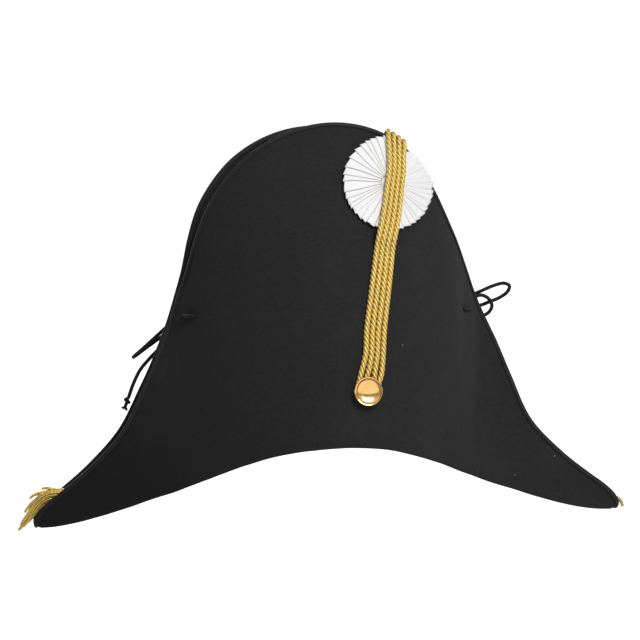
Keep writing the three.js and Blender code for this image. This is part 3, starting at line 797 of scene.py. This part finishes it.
def gilt_button():
    radius, height = BUTTON_PROFILE[-1]
    dome = []
    for degrees in range(84, 2, -6):
        a = math.radians(degrees)
        dome.append((radius * math.sin(a), height + DOME_RISE * math.cos(a)))
    tip = (DOME_TIP, height + DOME_RISE)
    piece = turned("gilt_button", [*BUTTON_PROFILE, *dome, tip], 72)
    return stand_on_front(piece, BUTTON["x"], BUTTON["z"])


# ------------------------------------------------------------------ gold cords

# The visible cord is a little thicker than its clear core, because neighbours press together.
GOLD = {"core": 3.2, "diameter": 4.4, "strands": 3, "groove": 0.3, "twist": 11.4, "step": 0.55}
CREST = {"pitch": 3.8, "slack": 0.7}
SEWN_DEPTH = 20
BAND_TILT = 0.13
# The band's way from the button to the edge: X, Z, the cords' distance apart, and what lies under.
BAND = [
    (20.9, 54.5, 4.9, "felt"),
    (23.4, 67, 4.3, "felt"),
    (25, 85, 4.3, "felt"),
    (28.5, 107, 4.2, "felt"),
    (32.2, 129, 4.1, "felt"),
    (34.8, 144.5, 4, "felt"),
    (35.4, 153, 3.9, "rim"),
    (38.1, 164, 3.8, "cockade"),
    (40.8, 177, 3.7, "cockade"),
    (43, 190, 3.6, "cockade"),
    (45, 201, 3.5, "cockade"),
    (46.1, 215, 3.6, "cockade"),
]
CLEARANCE = 0.3
TAPE_TOP = 1.1
# How high a cord's middle stands over the felt, on each thing that it crosses.
SEAT = CLEARANCE + GOLD["core"] / 2
SEATS = {"felt": SEAT + 0.15, "rim": COCKADE_TOP + SEAT - 0.3, "cockade": COCKADE_TOP + SEAT + 0.1}
TURN = {"aside": 1.2, "inner": 4.6, "outer": 8.7, "flatness": 0.87}
# Between these heights the tight band presses the cords thinner, by these shares.
PRESSED = [(140, 190, 0.08), (214, 226, 0.05)]


def strand(offset):
    """One cord's way from the button up the band, over the edge and down to its sewn end."""
    route = []
    for x, z, pitch, over in BAND:
        aside = offset * pitch
        across, down = math.cos(BAND_TILT) * aside, math.sin(BAND_TILT) * aside
        route.append(on_front(x + across, z - down, SEATS[over]))
    x = CREST_X + offset * CREST["pitch"]
    edge = float(edge_height(x)) + TAPE_TOP
    crest = edge + SEAT + CREST["slack"]
    route += [
        on_front(x - 2, edge - 4, SEATS["cockade"]),
        on_front(x - 1.5, crest - 2, SEATS["cockade"] - 1.2),
        on_front(x, crest, 1.2),
        on_front(x + 1.8, crest - 1.3, -3.2),
        on_front(x + 3.4, edge - 5, -SEAT - TAPE_TOP - 0.6),
        on_front(x + 4, edge - SEWN_DEPTH, -SEAT - 0.4),
    ]
    return route


def loop_cord(name, offset, width):
    """A doubled cord: up one side of the band, round under the button, and up the other side."""
    turn = []
    for degrees in (150, 180, 225, 270, 315, 360, 390):
        a = math.radians(degrees)
        x = BUTTON["x"] + TURN["aside"] + width * math.cos(a)
        z = BUTTON["z"] + width * TURN["flatness"] * math.sin(a)
        turn.append(on_front(x, z, SEAT))
    line = smooth_route([*strand(-offset)[::-1], *turn, *strand(offset)], GOLD["step"])
    section = stranded_section(GOLD["diameter"] / 2, GOLD["strands"], GOLD["groove"])
    scale = 1 - sum(share * smoothstep(line[:, 2], low, high) for low, high, share in PRESSED)
    twist = -2 * math.pi / GOLD["twist"]
    return mesh_object(name, *tube(line, section, 30, twist=twist, scale=scale, rounded=0.4))


# ------------------------------------------------------------------ laces

KNOT = {"x": 111.2, "y": 25, "z": 97, "radius": 3.2, "winding": 2.25, "cord_radius": 1.02}
STUB = {"from": 1.5, "length": 3.4, "radius": 1.4}  # the lace beyond an end knot
FRAY = {"fibres": 26, "from": 4.6, "radius": 0.26, "spread": 1.1, "reach": 2.2, "longer": 1.2}
STITCH_ROUTE = [
    (107.6, 30.5, 97), (104.2, 33, 97), (102.8, 30, 97), (102.8, 10, 97), (102.8, -10, 97),
    (102.8, -29, 97), (103.8, -33.1, 97), (106.2, -30.7, 97), (108.2, -26.8, 97), (110, -23, 97),
    (109.2, -18.5, 97), (109.2, 0, 97), (109.2, 14, 97), (109.6, 21.2, 97),
]
RIGHT_LOOP_A = [
    (113.4, 24.6, 100.1), (118, 25, 104.5), (127, 23.6, 108.6), (136, 22.4, 112.3), (144, 21.8, 114),
    (148.6, 22.8, 111.9), (147.6, 25.2, 107.4), (142, 27, 103), (134, 27.5, 99.8), (125, 26.8, 96.8),
    (115.2, 26, 95.9),
]
RIGHT_LOOP_B = [
    (114.6, 22.9, 98.1), (118, 21.4, 102.3), (126, 20.8, 105.2), (132, 21, 102), (134.3, 21.5, 96.5),
    (131.5, 22.5, 91.3), (125, 23.5, 88.6), (117, 24.3, 90), (113.2, 24.9, 93.7),
]
RIGHT_TAIL = [(110.8, 27.8, 94.2), (109.5, 31, 86), (107.5, 34, 73), (106, 38.3, 60), (105, 42.2, 47)]
LEFT_LOOP = [
    (-113.6, 22.9, 94.4), (-117.5, 19.5, 89.5), (-123.5, 17, 84.2), (-131, 16, 77.8), (-139, 16.5, 70.8),
    (-144.5, 18.5, 66), (-146, 21.5, 64.2), (-143.6, 24.3, 65.4), (-137, 25.5, 70), (-129.5, 25.8, 75.2),
    (-122, 26, 80.5), (-116.6, 26, 86.8), (-113.4, 26.2, 93.7),
]
LEFT_TAIL_A = [
    (-112.2, 28.2, 95), (-113.2, 29.4, 88), (-118, 28.4, 79.5), (-125.3, 23.5, 71), (-134, 20.5, 62.5),
    (-141, 19.8, 54.5), (-146.5, 20, 44), (-150.4, 20.5, 33.6),
]
LEFT_TAIL_B = [
    (-108.6, 27.4, 95.2), (-106.8, 33, 86), (-105.5, 36, 73), (-104, 39.3, 60), (-102.8, 43.9, 48),
]


def lace(name, route):
    """A lace along its route, and the line that it follows."""
    line = smooth_route(route, LACE["step"])
    piece = mesh_object(name, *tube(line, round_section(LACE["fluffed"] / 2), 16))
    return piece, line


def tied_ball(middle, seed):
    """An overhand knot drawn tight: a cord that winds through itself in a small ball."""
    t = np.linspace(0, 2 * math.pi, 73)[:-1]
    curve = np.stack(
        [np.sin(t) + 2 * np.sin(2 * t), np.cos(t) - 2 * np.cos(2 * t), -1.25 * np.sin(3 * t)], -1
    )
    curve = np.concatenate([curve, curve[:2]]) / 3.0
    turn = Quaternion((0.3, 0.9, 0.2 + seed), 0.9 + seed).to_matrix()
    line = curve @ np.array(turn).T * KNOT["winding"] + middle
    return tube(line, round_section(KNOT["cord_radius"]), 10, rounded=0.2)


def bow_knot(name, side):
    middle = np.array([side * KNOT["x"], KNOT["y"], KNOT["z"]])
    seed = 0.0 if side > 0 else 0.7
    return mesh_object(name, *tied_ball(middle, seed))


def end_knot(name, route, seed):
    """The knot near a lace's end, with the cord's stub and its frayed fibres beyond."""
    chance = np.random.default_rng(seed)
    end, before = np.array(route[-1], float), np.array(route[-2], float)
    down = unit(end - before)
    middle = end + down * KNOT["radius"]
    parts = [tied_ball(middle, 0.35 * seed)]
    steps = np.linspace(0, 1, 5)
    stub = steps[:, None] * down * STUB["length"] + middle + down * STUB["from"]
    parts.append(tube(stub, round_section(STUB["radius"]), 12, scale=1 - 0.15 * steps, rounded=0.5))
    across = unit(np.cross(down, [0.2, 1.0, 0.1]))
    other = np.cross(down, across)
    steps = np.linspace(0, 1, 4)[:, None]
    droop = np.array([0, 0, -0.5]) * steps**2
    taper = [1, 0.9, 0.7, 0.35]
    for k in range(FRAY["fibres"]):
        turn = GOLDEN_ANGLE * k
        aside = across * math.cos(turn) + other * math.sin(turn)
        spread = FRAY["spread"] * math.sqrt((k + 0.5) / FRAY["fibres"])
        aim = unit(down + aside * (0.25 + spread))
        root = middle + down * FRAY["from"] + aside * spread
        reach = FRAY["reach"] + FRAY["longer"] * chance.random()
        fibre = root + aim * steps * reach + droop
        parts.append(tube(fibre, round_section(FRAY["radius"]), 5, scale=taper, rounded=0.5))
    return mesh_object(name, *joined(parts))


# ------------------------------------------------------------------ bullion tassels

LEFT_TASSEL = [
    (-180, 0, -48.1), (-192, 0, -42), (-203, 0, -37.2), (-213.5, 0, -37.5), (-221, 0, -41.2),
    (-225.6, 0, -46.4), (-229.2, 0, -52.6), (-233, 0, -58), (-237, 0, -64),
]
RIGHT_TASSEL = [
    (178, 0, -47.9), (190, 0, -48), (202, 0, -50), (212, 0, -52), (220, 0, -53.8), (225.6, 0, -54.4),
    (229, 0, -57), (230.4, 0, -61),
]
# Each lock's place across and over the bundle's middle, how much of its length is missing at the
# tip, how far the tip lifts away, and its radius.
LOCKS = [
    (1.2, 2.3, 0.34, 3.6, 1.35), (-1.2, 2.0, 0.2, 2.6, 1.4), (0.1, 2.9, 0.46, 3.0, 1.3),
    (1.9, 0.8, 0.06, 0.6, 1.5), (-2.0, 0.9, 0.1, 1.4, 1.4), (0.2, 0.4, 0.0, 0.0, 1.6),
    (1.6, -1.1, 0.03, 0.2, 1.55), (-1.6, -1.2, 0.08, -0.2, 1.5), (0.0, -1.6, 0.05, -0.3, 1.5),
    (0.9, -3.0, 0.1, 0.2, 1.5), (-0.9, -3.2, 0.13, 0.4, 1.45), (0.2, -4.5, 0.18, 0.8, 1.3),
]
# The locks part after the head and meet again.
SPREAD = {"at_head": 0.45, "until": 0.42, "from": 0.7, "at_tip": 0.55}
LOCK = {"strands": 4, "groove": 0.34, "wave": 0.22, "sway": 0.2, "lifts_from": 0.78}
LOCK_TIP = {"from": 0.85, "thinner": 0.25}
LOCK_TWISTS = (0.04, 0.06, 0.08, 0.1)  # radians a millimetre, in turn
HEAD = {"reach": 3.0, "radius": 3.3, "strands": 14, "groove": 0.12}
HEAD_SWELL = [0.55, 0.8, 0.95, 1, 1, 1, 0.95, 0.8, 0.6]


def bullion_tassel(name, rows, held_back=0.0):
    """Locks of gold thread bound at a head and lying side by side, with loose tips.

    Only the middle lock reaches the end where the others are held back.
    """
    places = np.linspace(0, len(rows) - 1, 240)
    middle = evenly(through(rows, places), 1.0)
    tangent = unit(np.gradient(middle, axis=0))
    lift = unit(np.array([0, 0, 1.0]) - tangent * tangent[:, 2:3])
    parts = []
    for k, (across, over, short, curl, radius) in enumerate(LOCKS):
        last = int(round((len(middle) - 1) * (1 - short - (held_back if short else 0))))
        share = np.linspace(0, 1, last + 1)
        gather = 1 - (1 - SPREAD["at_head"]) * (1 - smoothstep(share, 0, SPREAD["until"]))
        gather *= 1 - (1 - SPREAD["at_tip"]) * smoothstep(share * (1 - short), SPREAD["from"], 1)
        tip = smoothstep(share, LOCK["lifts_from"], 1)
        wave = LOCK["wave"] * np.sin(share * 9 + 2.1 * k)
        height = over * gather + wave + curl * tip
        line = middle[: last + 1] + lift[: last + 1] * height[:, None]
        line[:, 1] += across * gather + LOCK["sway"] * np.cos(share * 7 + k)
        line = evenly(line, 0.9)
        near_tip = smoothstep(np.linspace(0, 1, len(line)), LOCK_TIP["from"], 1)
        scale = 1 - LOCK_TIP["thinner"] * near_tip
        section = stranded_section(radius, LOCK["strands"], LOCK["groove"])
        twist = LOCK_TWISTS[k % len(LOCK_TWISTS)]
        parts.append(tube(line, section, 28, twist=twist, scale=scale, rounded=0.7))
    along_head = np.linspace(-1, 1, len(HEAD_SWELL))[:, None] * HEAD["reach"]
    head = middle[0] + along_head * tangent[0]
    bound = stranded_section(HEAD["radius"], HEAD["strands"], HEAD["groove"])
    parts.append(tube(head, bound, 56, scale=HEAD_SWELL, rounded=0.5))
    return mesh_object(name, *joined(parts))


# ------------------------------------------------------------------ material building


class Sheet:
    """A node tree under construction.

    Each method but put adds nodes and gives back what they put out. An underscore in a socket's
    name stands for a space.
    """

    def __init__(self, tree):
        self.tree = tree

    def node(self, kind, inputs=None, **settings):
        made = self.tree.nodes.new(kind)
        for key, value in settings.items():
            setattr(made, key, value)
        for key, value in (inputs or {}).items():
            if isinstance(value, bpy.types.NodeSocket):
                self.tree.links.new(value, made.inputs[key])
            else:
                made.inputs[key].default_value = value
        return made

    def group(self, tree, **inputs):
        named = {key.replace("_", " "): value for key, value in inputs.items()}
        return self.node("ShaderNodeGroup", named, node_tree=tree).outputs

    def math(self, operation, first, second=0.0, third=0.0):
        inputs = {0: first, 1: second, 2: third}
        return self.node("ShaderNodeMath", inputs, operation=operation).outputs[0]

    def colour_mix(self, share, first, second):
        inputs = {0: share, 6: first, 7: second}
        return self.node("ShaderNodeMix", inputs, data_type="RGBA").outputs[2]

    def span(self, value, low, high, to_low=0.0, to_high=1.0):
        inputs = {"Value": value, 1: low, 2: high, 3: to_low, 4: to_high}
        return self.node("ShaderNodeMapRange", inputs, interpolation_type="SMOOTHSTEP").outputs[0]

    def noise(self, vector, scale, detail=2.0, roughness=0.5, distortion=0.0):
        inputs = {"Vector": vector, "Scale": scale, "Detail": detail}
        inputs |= {"Roughness": roughness, "Distortion": distortion}
        return self.node("ShaderNodeTexNoise", inputs).outputs[0]

    def scaled(self, vector, scale):
        return self.node("ShaderNodeMapping", {"Vector": vector, "Scale": scale}).outputs[0]

    def place(self):
        return self.node("ShaderNodeTexCoord").outputs["Object"]

    def along(self):
        """Round the section in X from 0 to 1, and along the piece in Y in centimetres."""
        uv = self.node("ShaderNodeUVMap", uv_map="along").outputs[0]
        parts = self.node("ShaderNodeSeparateXYZ", {0: uv})
        return parts.outputs[0], parts.outputs[1]

    def bump(self, height, strength, distance):
        inputs = {"Height": height, "Strength": strength, "Distance": distance}
        return self.node("ShaderNodeBump", inputs).outputs[0]

    def put(self, sockets, **values):
        """Links each value to the socket that it is named after."""
        for key, value in values.items():
            self.tree.links.new(value, sockets[key.replace("_", " ")])


def grey(value):
    return (value, value, value, 1.0)


def node_group(name, inputs, outputs):
    """A shader node group: a Sheet to build in, what comes in and what goes out.

    inputs has the plain value of each socket that comes in, or None for a place in space.
    """
    tree = bpy.data.node_groups.new(name, "ShaderNodeTree")
    for socket, value in inputs.items():
        kind = "NodeSocketVector" if value is None else "NodeSocketFloat"
        made = tree.interface.new_socket(name=socket, in_out="INPUT", socket_type=kind)
        if value is not None:
            made.default_value = value
    for socket in outputs:
        tree.interface.new_socket(name=socket, in_out="OUTPUT", socket_type="NodeSocketFloat")
    entry = tree.nodes.new("NodeGroupInput")
    end = tree.nodes.new("NodeGroupOutput")
    return Sheet(tree), entry.outputs, end.inputs


def fibre_fuzz_group():
    """Matted fibres: short curled hairs a few tenths of a millimetre apart, over soft clouding."""
    inputs = {"Place": None, "Fineness": 1.0}
    sheet, given, result = node_group("fibre_fuzz", inputs, ["Tone", "Cloud", "Height"])
    fine = sheet.node("ShaderNodeVectorMath", {0: given["Place"]}, operation="SCALE")
    sheet.tree.links.new(given["Fineness"], fine.inputs["Scale"])
    place = fine.outputs[0]
    hairs = sheet.noise(place, 1500.0, 3.0, 0.6, 1.6)
    tufts = sheet.noise(sheet.scaled(place, (1.0, 1.0, 1.6)), 420.0, 3.0, 0.55, 0.8)
    cloud = sheet.noise(place, 34.0, 4.0, 0.55, 0.3)
    tone = sheet.math("MULTIPLY_ADD", hairs, 0.6, sheet.math("MULTIPLY", tufts, 0.4))
    height = sheet.math("MULTIPLY_ADD", hairs, 0.45, sheet.math("MULTIPLY", tufts, 0.55))
    sheet.put(result, Tone=tone, Cloud=cloud, Height=height)
    return sheet.tree


def thread_rows_group():
    """Rows of threads over a surface: so many round it and so many a centimetre along it."""
    inputs = {"Round": 0.0, "Along": 0.0, "Rows round": 1.0, "Rows along": 10.0}
    sheet, given, result = node_group("thread_rows", inputs, ["Height"])
    round_it = sheet.math("MULTIPLY", given["Round"], given["Rows round"])
    along = sheet.math("MULTIPLY", given["Along"], given["Rows along"])
    phase = sheet.math("MULTIPLY", sheet.math("ADD", round_it, along), 2 * math.pi)
    wave = sheet.math("MULTIPLY_ADD", sheet.math("COSINE", phase), 0.5, 0.5)
    sheet.put(result, Height=sheet.math("POWER", wave, 0.6))
    return sheet.tree


def lint_group():
    """Rare pale specks of lint, each a fraction of a millimetre to a millimetre long."""
    sheet, given, result = node_group("lint", {"Place": None}, ["Speck"])
    uneven = sheet.noise(given["Place"], 260.0)
    stretched = sheet.scaled(given["Place"], (1.0, 1.0, 0.7))
    cells = sheet.node("ShaderNodeTexVoronoi", {"Vector": stretched, "Scale": 62.0})
    size = sheet.math("MULTIPLY_ADD", uneven, 0.05, 0.012)
    near = sheet.math("LESS_THAN", cells.outputs["Distance"], size)
    pick = sheet.node("ShaderNodeSeparateColor", {0: cells.outputs["Color"]}).outputs[0]
    rare = sheet.math("GREATER_THAN", pick, 0.72)
    sheet.put(result, Speck=sheet.math("MULTIPLY", near, rare))
    return sheet.tree


FUZZ = fibre_fuzz_group()
THREADS = thread_rows_group()
LINT = lint_group()


def finish_of(name, **sockets):
    """A new material, a Sheet for its nodes and its Principled shader with plain sockets set."""
    material = bpy.data.materials.new(name)
    material.use_nodes = True
    shader = next(n for n in material.node_tree.nodes if n.type == "BSDF_PRINCIPLED")
    for socket, value in sockets.items():
        shader.inputs[socket].default_value = value
    return material, Sheet(material.node_tree), shader


def fuzz_on(sheet, fineness=1.0):
    return sheet.group(FUZZ, Place=sheet.place(), Fineness=fineness)


def threads_on(sheet, ways, rows_round, rows_along):
    """How high rows of threads stand; ways are the places round a piece and along it."""
    round_it, along = ways
    rows = {"Rows_round": rows_round, "Rows_along": rows_along}
    return sheet.group(THREADS, Round=round_it, Along=along, **rows)["Height"]


def painted_shade_to_the_left(sheet, place, colour):
    """The same colour with painted shade toward the left horn, away from the light at the right."""
    sides = sheet.node("ShaderNodeSeparateXYZ", {0: place}).outputs
    share = sheet.span(sheet.math("ADD", sides["X"], sides["Z"]), -0.22, 0.0, 0.3, 1.0)
    return sheet.colour_mix(share, grey(0.004), colour)


def felt_finish():
    material, sheet, shader = finish_of(
        "black_wool_felt",
        **{"Roughness": 0.96, "Sheen Weight": 0.05, "Sheen Roughness": 0.6, "Specular IOR Level": 0.1},
    )
    place = sheet.place()
    fuzz = fuzz_on(sheet)
    base = sheet.colour_mix(sheet.span(fuzz["Tone"], 0.32, 0.68), grey(0.0125), grey(0.022))
    # Paler clouds over the felt: partly dust, partly painted sheen.
    dust_and_sheen_clouds = sheet.colour_mix(sheet.span(fuzz["Cloud"], 0.5, 0.78, 0.0, 0.30), base, grey(0.028))
    # Painted shade: the felt is darkened toward the left horn.
    shaded_to_the_left = painted_shade_to_the_left(sheet, place, dust_and_sheen_clouds)
    speck = sheet.group(LINT, Place=place)["Speck"]
    speckled = sheet.colour_mix(sheet.math("MULTIPLY", speck, 0.85), shaded_to_the_left, grey(0.14))
    height = sheet.math("ADD", fuzz["Height"], sheet.math("MULTIPLY", speck, 0.4))
    sheet.put(shader.inputs, Base_Color=speckled, Normal=sheet.bump(height, 0.35, 0.0002))
    return material


def tape_finish():
    material, sheet, shader = finish_of(
        "black_binding_tape",
        **{"Sheen Weight": 0.06, "Sheen Roughness": 0.4, "Specular IOR Level": 0.2},
    )
    ribs = threads_on(sheet, sheet.along(), 0.0, 17.0)
    fuzz = fuzz_on(sheet)
    worn = sheet.colour_mix(sheet.span(fuzz["Tone"], 0.3, 0.7), grey(0.018), grey(0.034))
    # Painted shade: the valleys between the ribs are coloured darker.
    rib_valleys_shaded = sheet.colour_mix(sheet.math("MULTIPLY", ribs, 0.55), grey(0.014), worn)
    # Painted shade: the tape is darkened toward the left horn too.
    shade = painted_shade_to_the_left(sheet, sheet.place(), rib_valleys_shaded)
    height = sheet.math("MULTIPLY_ADD", fuzz["Height"], 0.7, ribs)
    roughness = sheet.span(fuzz["Tone"], 0.2, 0.8, 0.55, 0.75)
    normal = sheet.bump(height, 0.5, 0.00012)
    sheet.put(shader.inputs, Base_Color=shade, Roughness=roughness, Normal=normal)
    return material


def ribbon_finish():
    material, sheet, shader = finish_of(
        "white_ribbon",
        **{
            "Specular IOR Level": 0.45,
            "Subsurface Weight": 0.4,
            "Subsurface Radius": (1.0, 1.0, 1.0),
            "Subsurface Scale": 0.0012,
        },
    )
    ways = sheet.along()
    weft = threads_on(sheet, ways, 0.0, 26.0)
    warp = threads_on(sheet, ways, 22.0, 0.0)
    weave = sheet.math("MULTIPLY", weft, warp)
    fuzz = fuzz_on(sheet, 0.6)
    soiled = sheet.span(fuzz["Cloud"], 0.45, 0.75, 0.0, 0.35)
    white = sheet.colour_mix(soiled, grey(0.87), (0.8, 0.805, 0.815, 1))
    # Painted highlight: the weave's crossing points are coloured paler.
    shade = sheet.colour_mix(sheet.math("MULTIPLY", weave, 0.16), white, grey(0.91))
    roughness = sheet.span(fuzz["Tone"], 0.2, 0.8, 0.5, 0.68)
    normal = sheet.bump(weave, 0.22, 0.00012)
    sheet.put(shader.inputs, Base_Color=shade, Roughness=roughness, Normal=normal)
    return material


def gilt_finish():
    material, sheet, shader = finish_of("polished_gilt", **{"Metallic": 1.0})
    place = sheet.place()
    smear = sheet.noise(place, 160.0, 3.0, 0.6, 0.6)
    scratch = sheet.noise(sheet.scaled(place, (1.0, 1.0, 14.0)), 240.0, 2.0, 0.6, 0.2)
    fine = sheet.span(scratch, 0.62, 0.7)
    worn = sheet.span(smear, 0.35, 0.7)
    shade = sheet.colour_mix(worn, (0.9, 0.56, 0.22, 1), (0.82, 0.48, 0.16, 1))
    roughness = sheet.math("MULTIPLY_ADD", fine, 0.08, sheet.span(smear, 0.3, 0.75, 0.1, 0.22))
    normal = sheet.bump(sheet.math("MULTIPLY_ADD", fine, -0.2, smear), 0.06, 0.0002)
    sheet.put(shader.inputs, Base_Color=shade, Roughness=roughness, Normal=normal)
    return material


def gold_thread_finish(name, strands, rows_round, rows_along, pale, deep, groove, shine):
    """Metal thread wound round a core: fine windings over the strands, painted shade between them and in
    the grooves.
    """
    material, sheet, shader = finish_of(name, **{"Specular IOR Level": 0.6})
    ways = sheet.along()
    winding = threads_on(sheet, ways, rows_round, rows_along)
    turn = sheet.math("MULTIPLY", ways[0], math.pi * strands)
    crest = sheet.math("ABSOLUTE", sheet.math("COSINE", turn))
    fuzz = fuzz_on(sheet)
    thread = sheet.colour_mix(sheet.span(fuzz["Tone"], 0.3, 0.7), deep, pale)
    # Painted shade: between the windings the thread is mixed toward the deeper gold.
    wound = sheet.colour_mix(sheet.math("MULTIPLY_ADD", winding, 0.6, 0.4), deep, thread)
    # Painted shade: the grooves between the strands are coloured near black.
    shade = sheet.colour_mix(sheet.span(crest, 0.02, 0.55), groove, wound)
    height = sheet.math("MULTIPLY_ADD", fuzz["Height"], 0.35, winding)
    roughness = sheet.span(fuzz["Tone"], 0.25, 0.75, shine, shine + 0.18)
    metal = sheet.span(crest, 0.1, 0.6, 0.25, 0.55)
    sheet.put(shader.inputs, Base_Color=shade, Roughness=roughness, Metallic=metal)
    sheet.put(shader.inputs, Normal=sheet.bump(height, 0.7, 0.00012))
    return material


def lace_finish():
    material, sheet, shader = finish_of(
        "black_braided_lace",
        **{"Sheen Weight": 0.06, "Sheen Roughness": 0.4, "Specular IOR Level": 0.2},
    )
    ways = sheet.along()
    rightward = threads_on(sheet, ways, 4.0, 7.0)
    leftward = threads_on(sheet, ways, -4.0, 7.0)
    braid = sheet.math("MAXIMUM", rightward, leftward)
    fuzz = fuzz_on(sheet, 1.2)
    thread = sheet.colour_mix(sheet.span(fuzz["Tone"], 0.3, 0.7), grey(0.011), grey(0.022))
    # Painted shade: the gaps between the braid's strands are coloured near black.
    shade = sheet.colour_mix(sheet.span(braid, 0.3, 0.95), grey(0.005), thread)
    roughness = sheet.span(fuzz["Tone"], 0.2, 0.8, 0.6, 0.8)
    normal = sheet.bump(braid, 0.7, 0.00025)
    sheet.put(shader.inputs, Base_Color=shade, Roughness=roughness, Normal=normal)
    return material


# ------------------------------------------------------------------ floor and light


SEEN_WHITE = 1.1  # the surroundings as the camera sees them
AMBIENT = 0.32  # and as they light the hat
FLOOR = {"radius": 14.0, "z": -0.32}


def place_floor():
    middle = (0, 0, FLOOR["z"])
    bpy.ops.mesh.primitive_circle_add(
        vertices=96, radius=FLOOR["radius"], location=middle, fill_type="NGON"
    )
    floor = bpy.context.object
    floor.name = "floor"
    bpy.ops.object.transform_apply(location=True, rotation=True, scale=True)
    material, sheet, shader = finish_of("pale_floor", **{"Base Color": grey(0.9), "Roughness": 0.9})
    seen = sheet.node("ShaderNodeLightPath").outputs["Is Camera Ray"]
    shader.inputs["Emission Color"].default_value = grey(1.0)
    sheet.put(shader.inputs, Emission_Strength=seen)
    floor.data.materials.append(material)
    floor.select_set(False)


def area_light(name, place, size, power, aim=(0.0, 0.0, 0.09), only=None, never=None):
    """A soft rectangular light, which may be kept to one piece or kept off one."""
    light = bpy.data.objects.new(name, bpy.data.lights.new(name, "AREA"))
    light.data.shape = "RECTANGLE"
    light.data.size, light.data.size_y = size
    light.data.energy = power
    light.location = place
    light.rotation_mode = "QUATERNION"
    light.rotation_quaternion = (Vector(aim) - Vector(place)).to_track_quat("-Z", "Y")
    light.visible_camera = False
    bpy.context.scene.collection.objects.link(light)
    lit = bpy.data.collections.new(f"lit_by_{name}")
    lit.objects.link(only or never)
    light.light_linking.receiver_collection = lit
    if never is not None:
        lit.collection_objects[0].light_linking.link_state = "EXCLUDE"


def light_scene(polished):
    """White surroundings, dimmer than they look, a light high at the right, a weaker one behind,
    and two cards that only the polished piece mirrors: a wide one above and a bright one low down."""
    world = bpy.data.worlds.new("studio")
    bpy.context.scene.world = world
    world.use_nodes = True
    sheet = Sheet(world.node_tree)
    background = next(n for n in world.node_tree.nodes if n.type == "BACKGROUND")
    seen = sheet.node("ShaderNodeLightPath").outputs["Is Camera Ray"]
    background.inputs["Color"].default_value = grey(1.0)
    strength = sheet.math("MULTIPLY_ADD", seen, SEEN_WHITE - AMBIENT, AMBIENT)
    sheet.put(background.inputs, Strength=strength)
    area_light("softbox", (0.34, -0.95, 0.72), (0.5, 0.5), 10.5, never=polished)
    area_light("back_fill", (-0.5, 1.5, 0.9), (1.2, 1.2), 14.0, never=polished)
    area_light("high_card", (0.4, -1.2, 1.92), (8.0, 4.0), 80.0, aim=(0.4, 0.0, 1.92), only=polished)
    area_light("low_card", (0.1, -0.42, -0.21), (0.4, 0.18), 2.2, aim=(0.017, -0.1, 0.0), only=polished)
    view = bpy.context.scene.view_settings
    view.view_transform = "Standard"
    view.look = "None"


# ------------------------------------------------------------------ the hat


def dress(piece, material, slot, *nodes):
    """The piece's finish, the record's slot for it (not used), and the solids that it stands for."""
    piece.data.materials.clear()
    piece.data.materials.append(material)
    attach(piece, "root")
    if nodes:
        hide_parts(*nodes)
    return piece


place_camera()

BLACK_LACE = lace_finish()
for side_name, side in (("right", 1), ("left", -1)):
    knot = bow_knot(f"bow_knot_{side_name}", side)
    dress(knot, BLACK_LACE, "lace", f"tie_{side_name}_knot")
    route = [(side * x, y, z) for x, y, z in STITCH_ROUTE]
    stitch, _ = lace(f"lace_stitch_{side_name}", route)
    dress(stitch, BLACK_LACE, "lace", f"tie_{side_name}_stitch")

# Each tail has a knot near its end: the knot's name, its solid and the seed of its frayed fibres.
# A loop runs back into its bow and has none.
FREE_LACES = [
    ("right_loop_a", RIGHT_LOOP_A, None),
    ("right_loop_b", RIGHT_LOOP_B, None),
    ("right_tail", RIGHT_TAIL, ("end_knot_right", "tie_right_end_knot", 2)),
    ("left_loop", LEFT_LOOP, None),
    ("left_tail_a", LEFT_TAIL_A, ("end_knot_left_a", "tie_left_end_knot_a", 1)),
    ("left_tail_b", LEFT_TAIL_B, ("end_knot_left_b", "tie_left_end_knot_b", 3)),
]
for name, route, end in FREE_LACES:
    piece, line = lace(f"lace_{name}", route)
    dress(piece, BLACK_LACE, "lace", f"tie_{name}")
    if end:
        knot_name, knot_node, seed = end
        knot = end_knot(knot_name, route, seed)
        dress(knot, BLACK_LACE, "lace", knot_node)

dress(felt_shell(), felt_finish(), "felt", "felt_body")
BLACK_TAPE = tape_finish()
dress(binding_tape(), BLACK_TAPE, "tape", "edge_binding")
dress(binding_stitches(), BLACK_TAPE, "tape")
WHITE_RIBBON = ribbon_finish()
pleats = dress(cockade_pleats(), WHITE_RIBBON, "ribbon", "cockade")
dress(cockade_backing(), WHITE_RIBBON, "ribbon")
button = dress(gilt_button(), gilt_finish(), "gilt", "button")
GOLD_CORD = gold_thread_finish(
    "gold_cord",
    strands=3,
    rows_round=-2.0,
    rows_along=18.0,
    pale=(0.95, 0.73, 0.24, 1),
    deep=(0.72, 0.49, 0.1, 1),
    # groove is the painted shade colour in the grooves between the plies.
    groove=(0.17, 0.1, 0.015, 1),
    shine=0.36,
)
dress(loop_cord("twisted_cord_inner", 0.5, TURN["inner"]), GOLD_CORD, "gold_cord", "loop_cord_inner")
dress(loop_cord("twisted_cord_outer", 1.5, TURN["outer"]), GOLD_CORD, "gold_cord", "loop_cord_outer")
BULLION = gold_thread_finish(
    "bullion_thread",
    strands=4,
    rows_round=8.0,
    rows_along=5.0,
    pale=(0.96, 0.73, 0.22, 1),
    deep=(0.72, 0.47, 0.08, 1),
    # groove is the painted shade colour in the grooves between the strands.
    groove=(0.14, 0.065, 0.01, 1),
    shine=0.28,
)
dress(bullion_tassel("bullion_tassel_left", LEFT_TASSEL), BULLION, "bullion", "tassel_left")
dress(bullion_tassel("bullion_tassel_right", RIGHT_TASSEL, 0.28), BULLION, "bullion", "tassel_right")

place_floor()
light_scene(button)
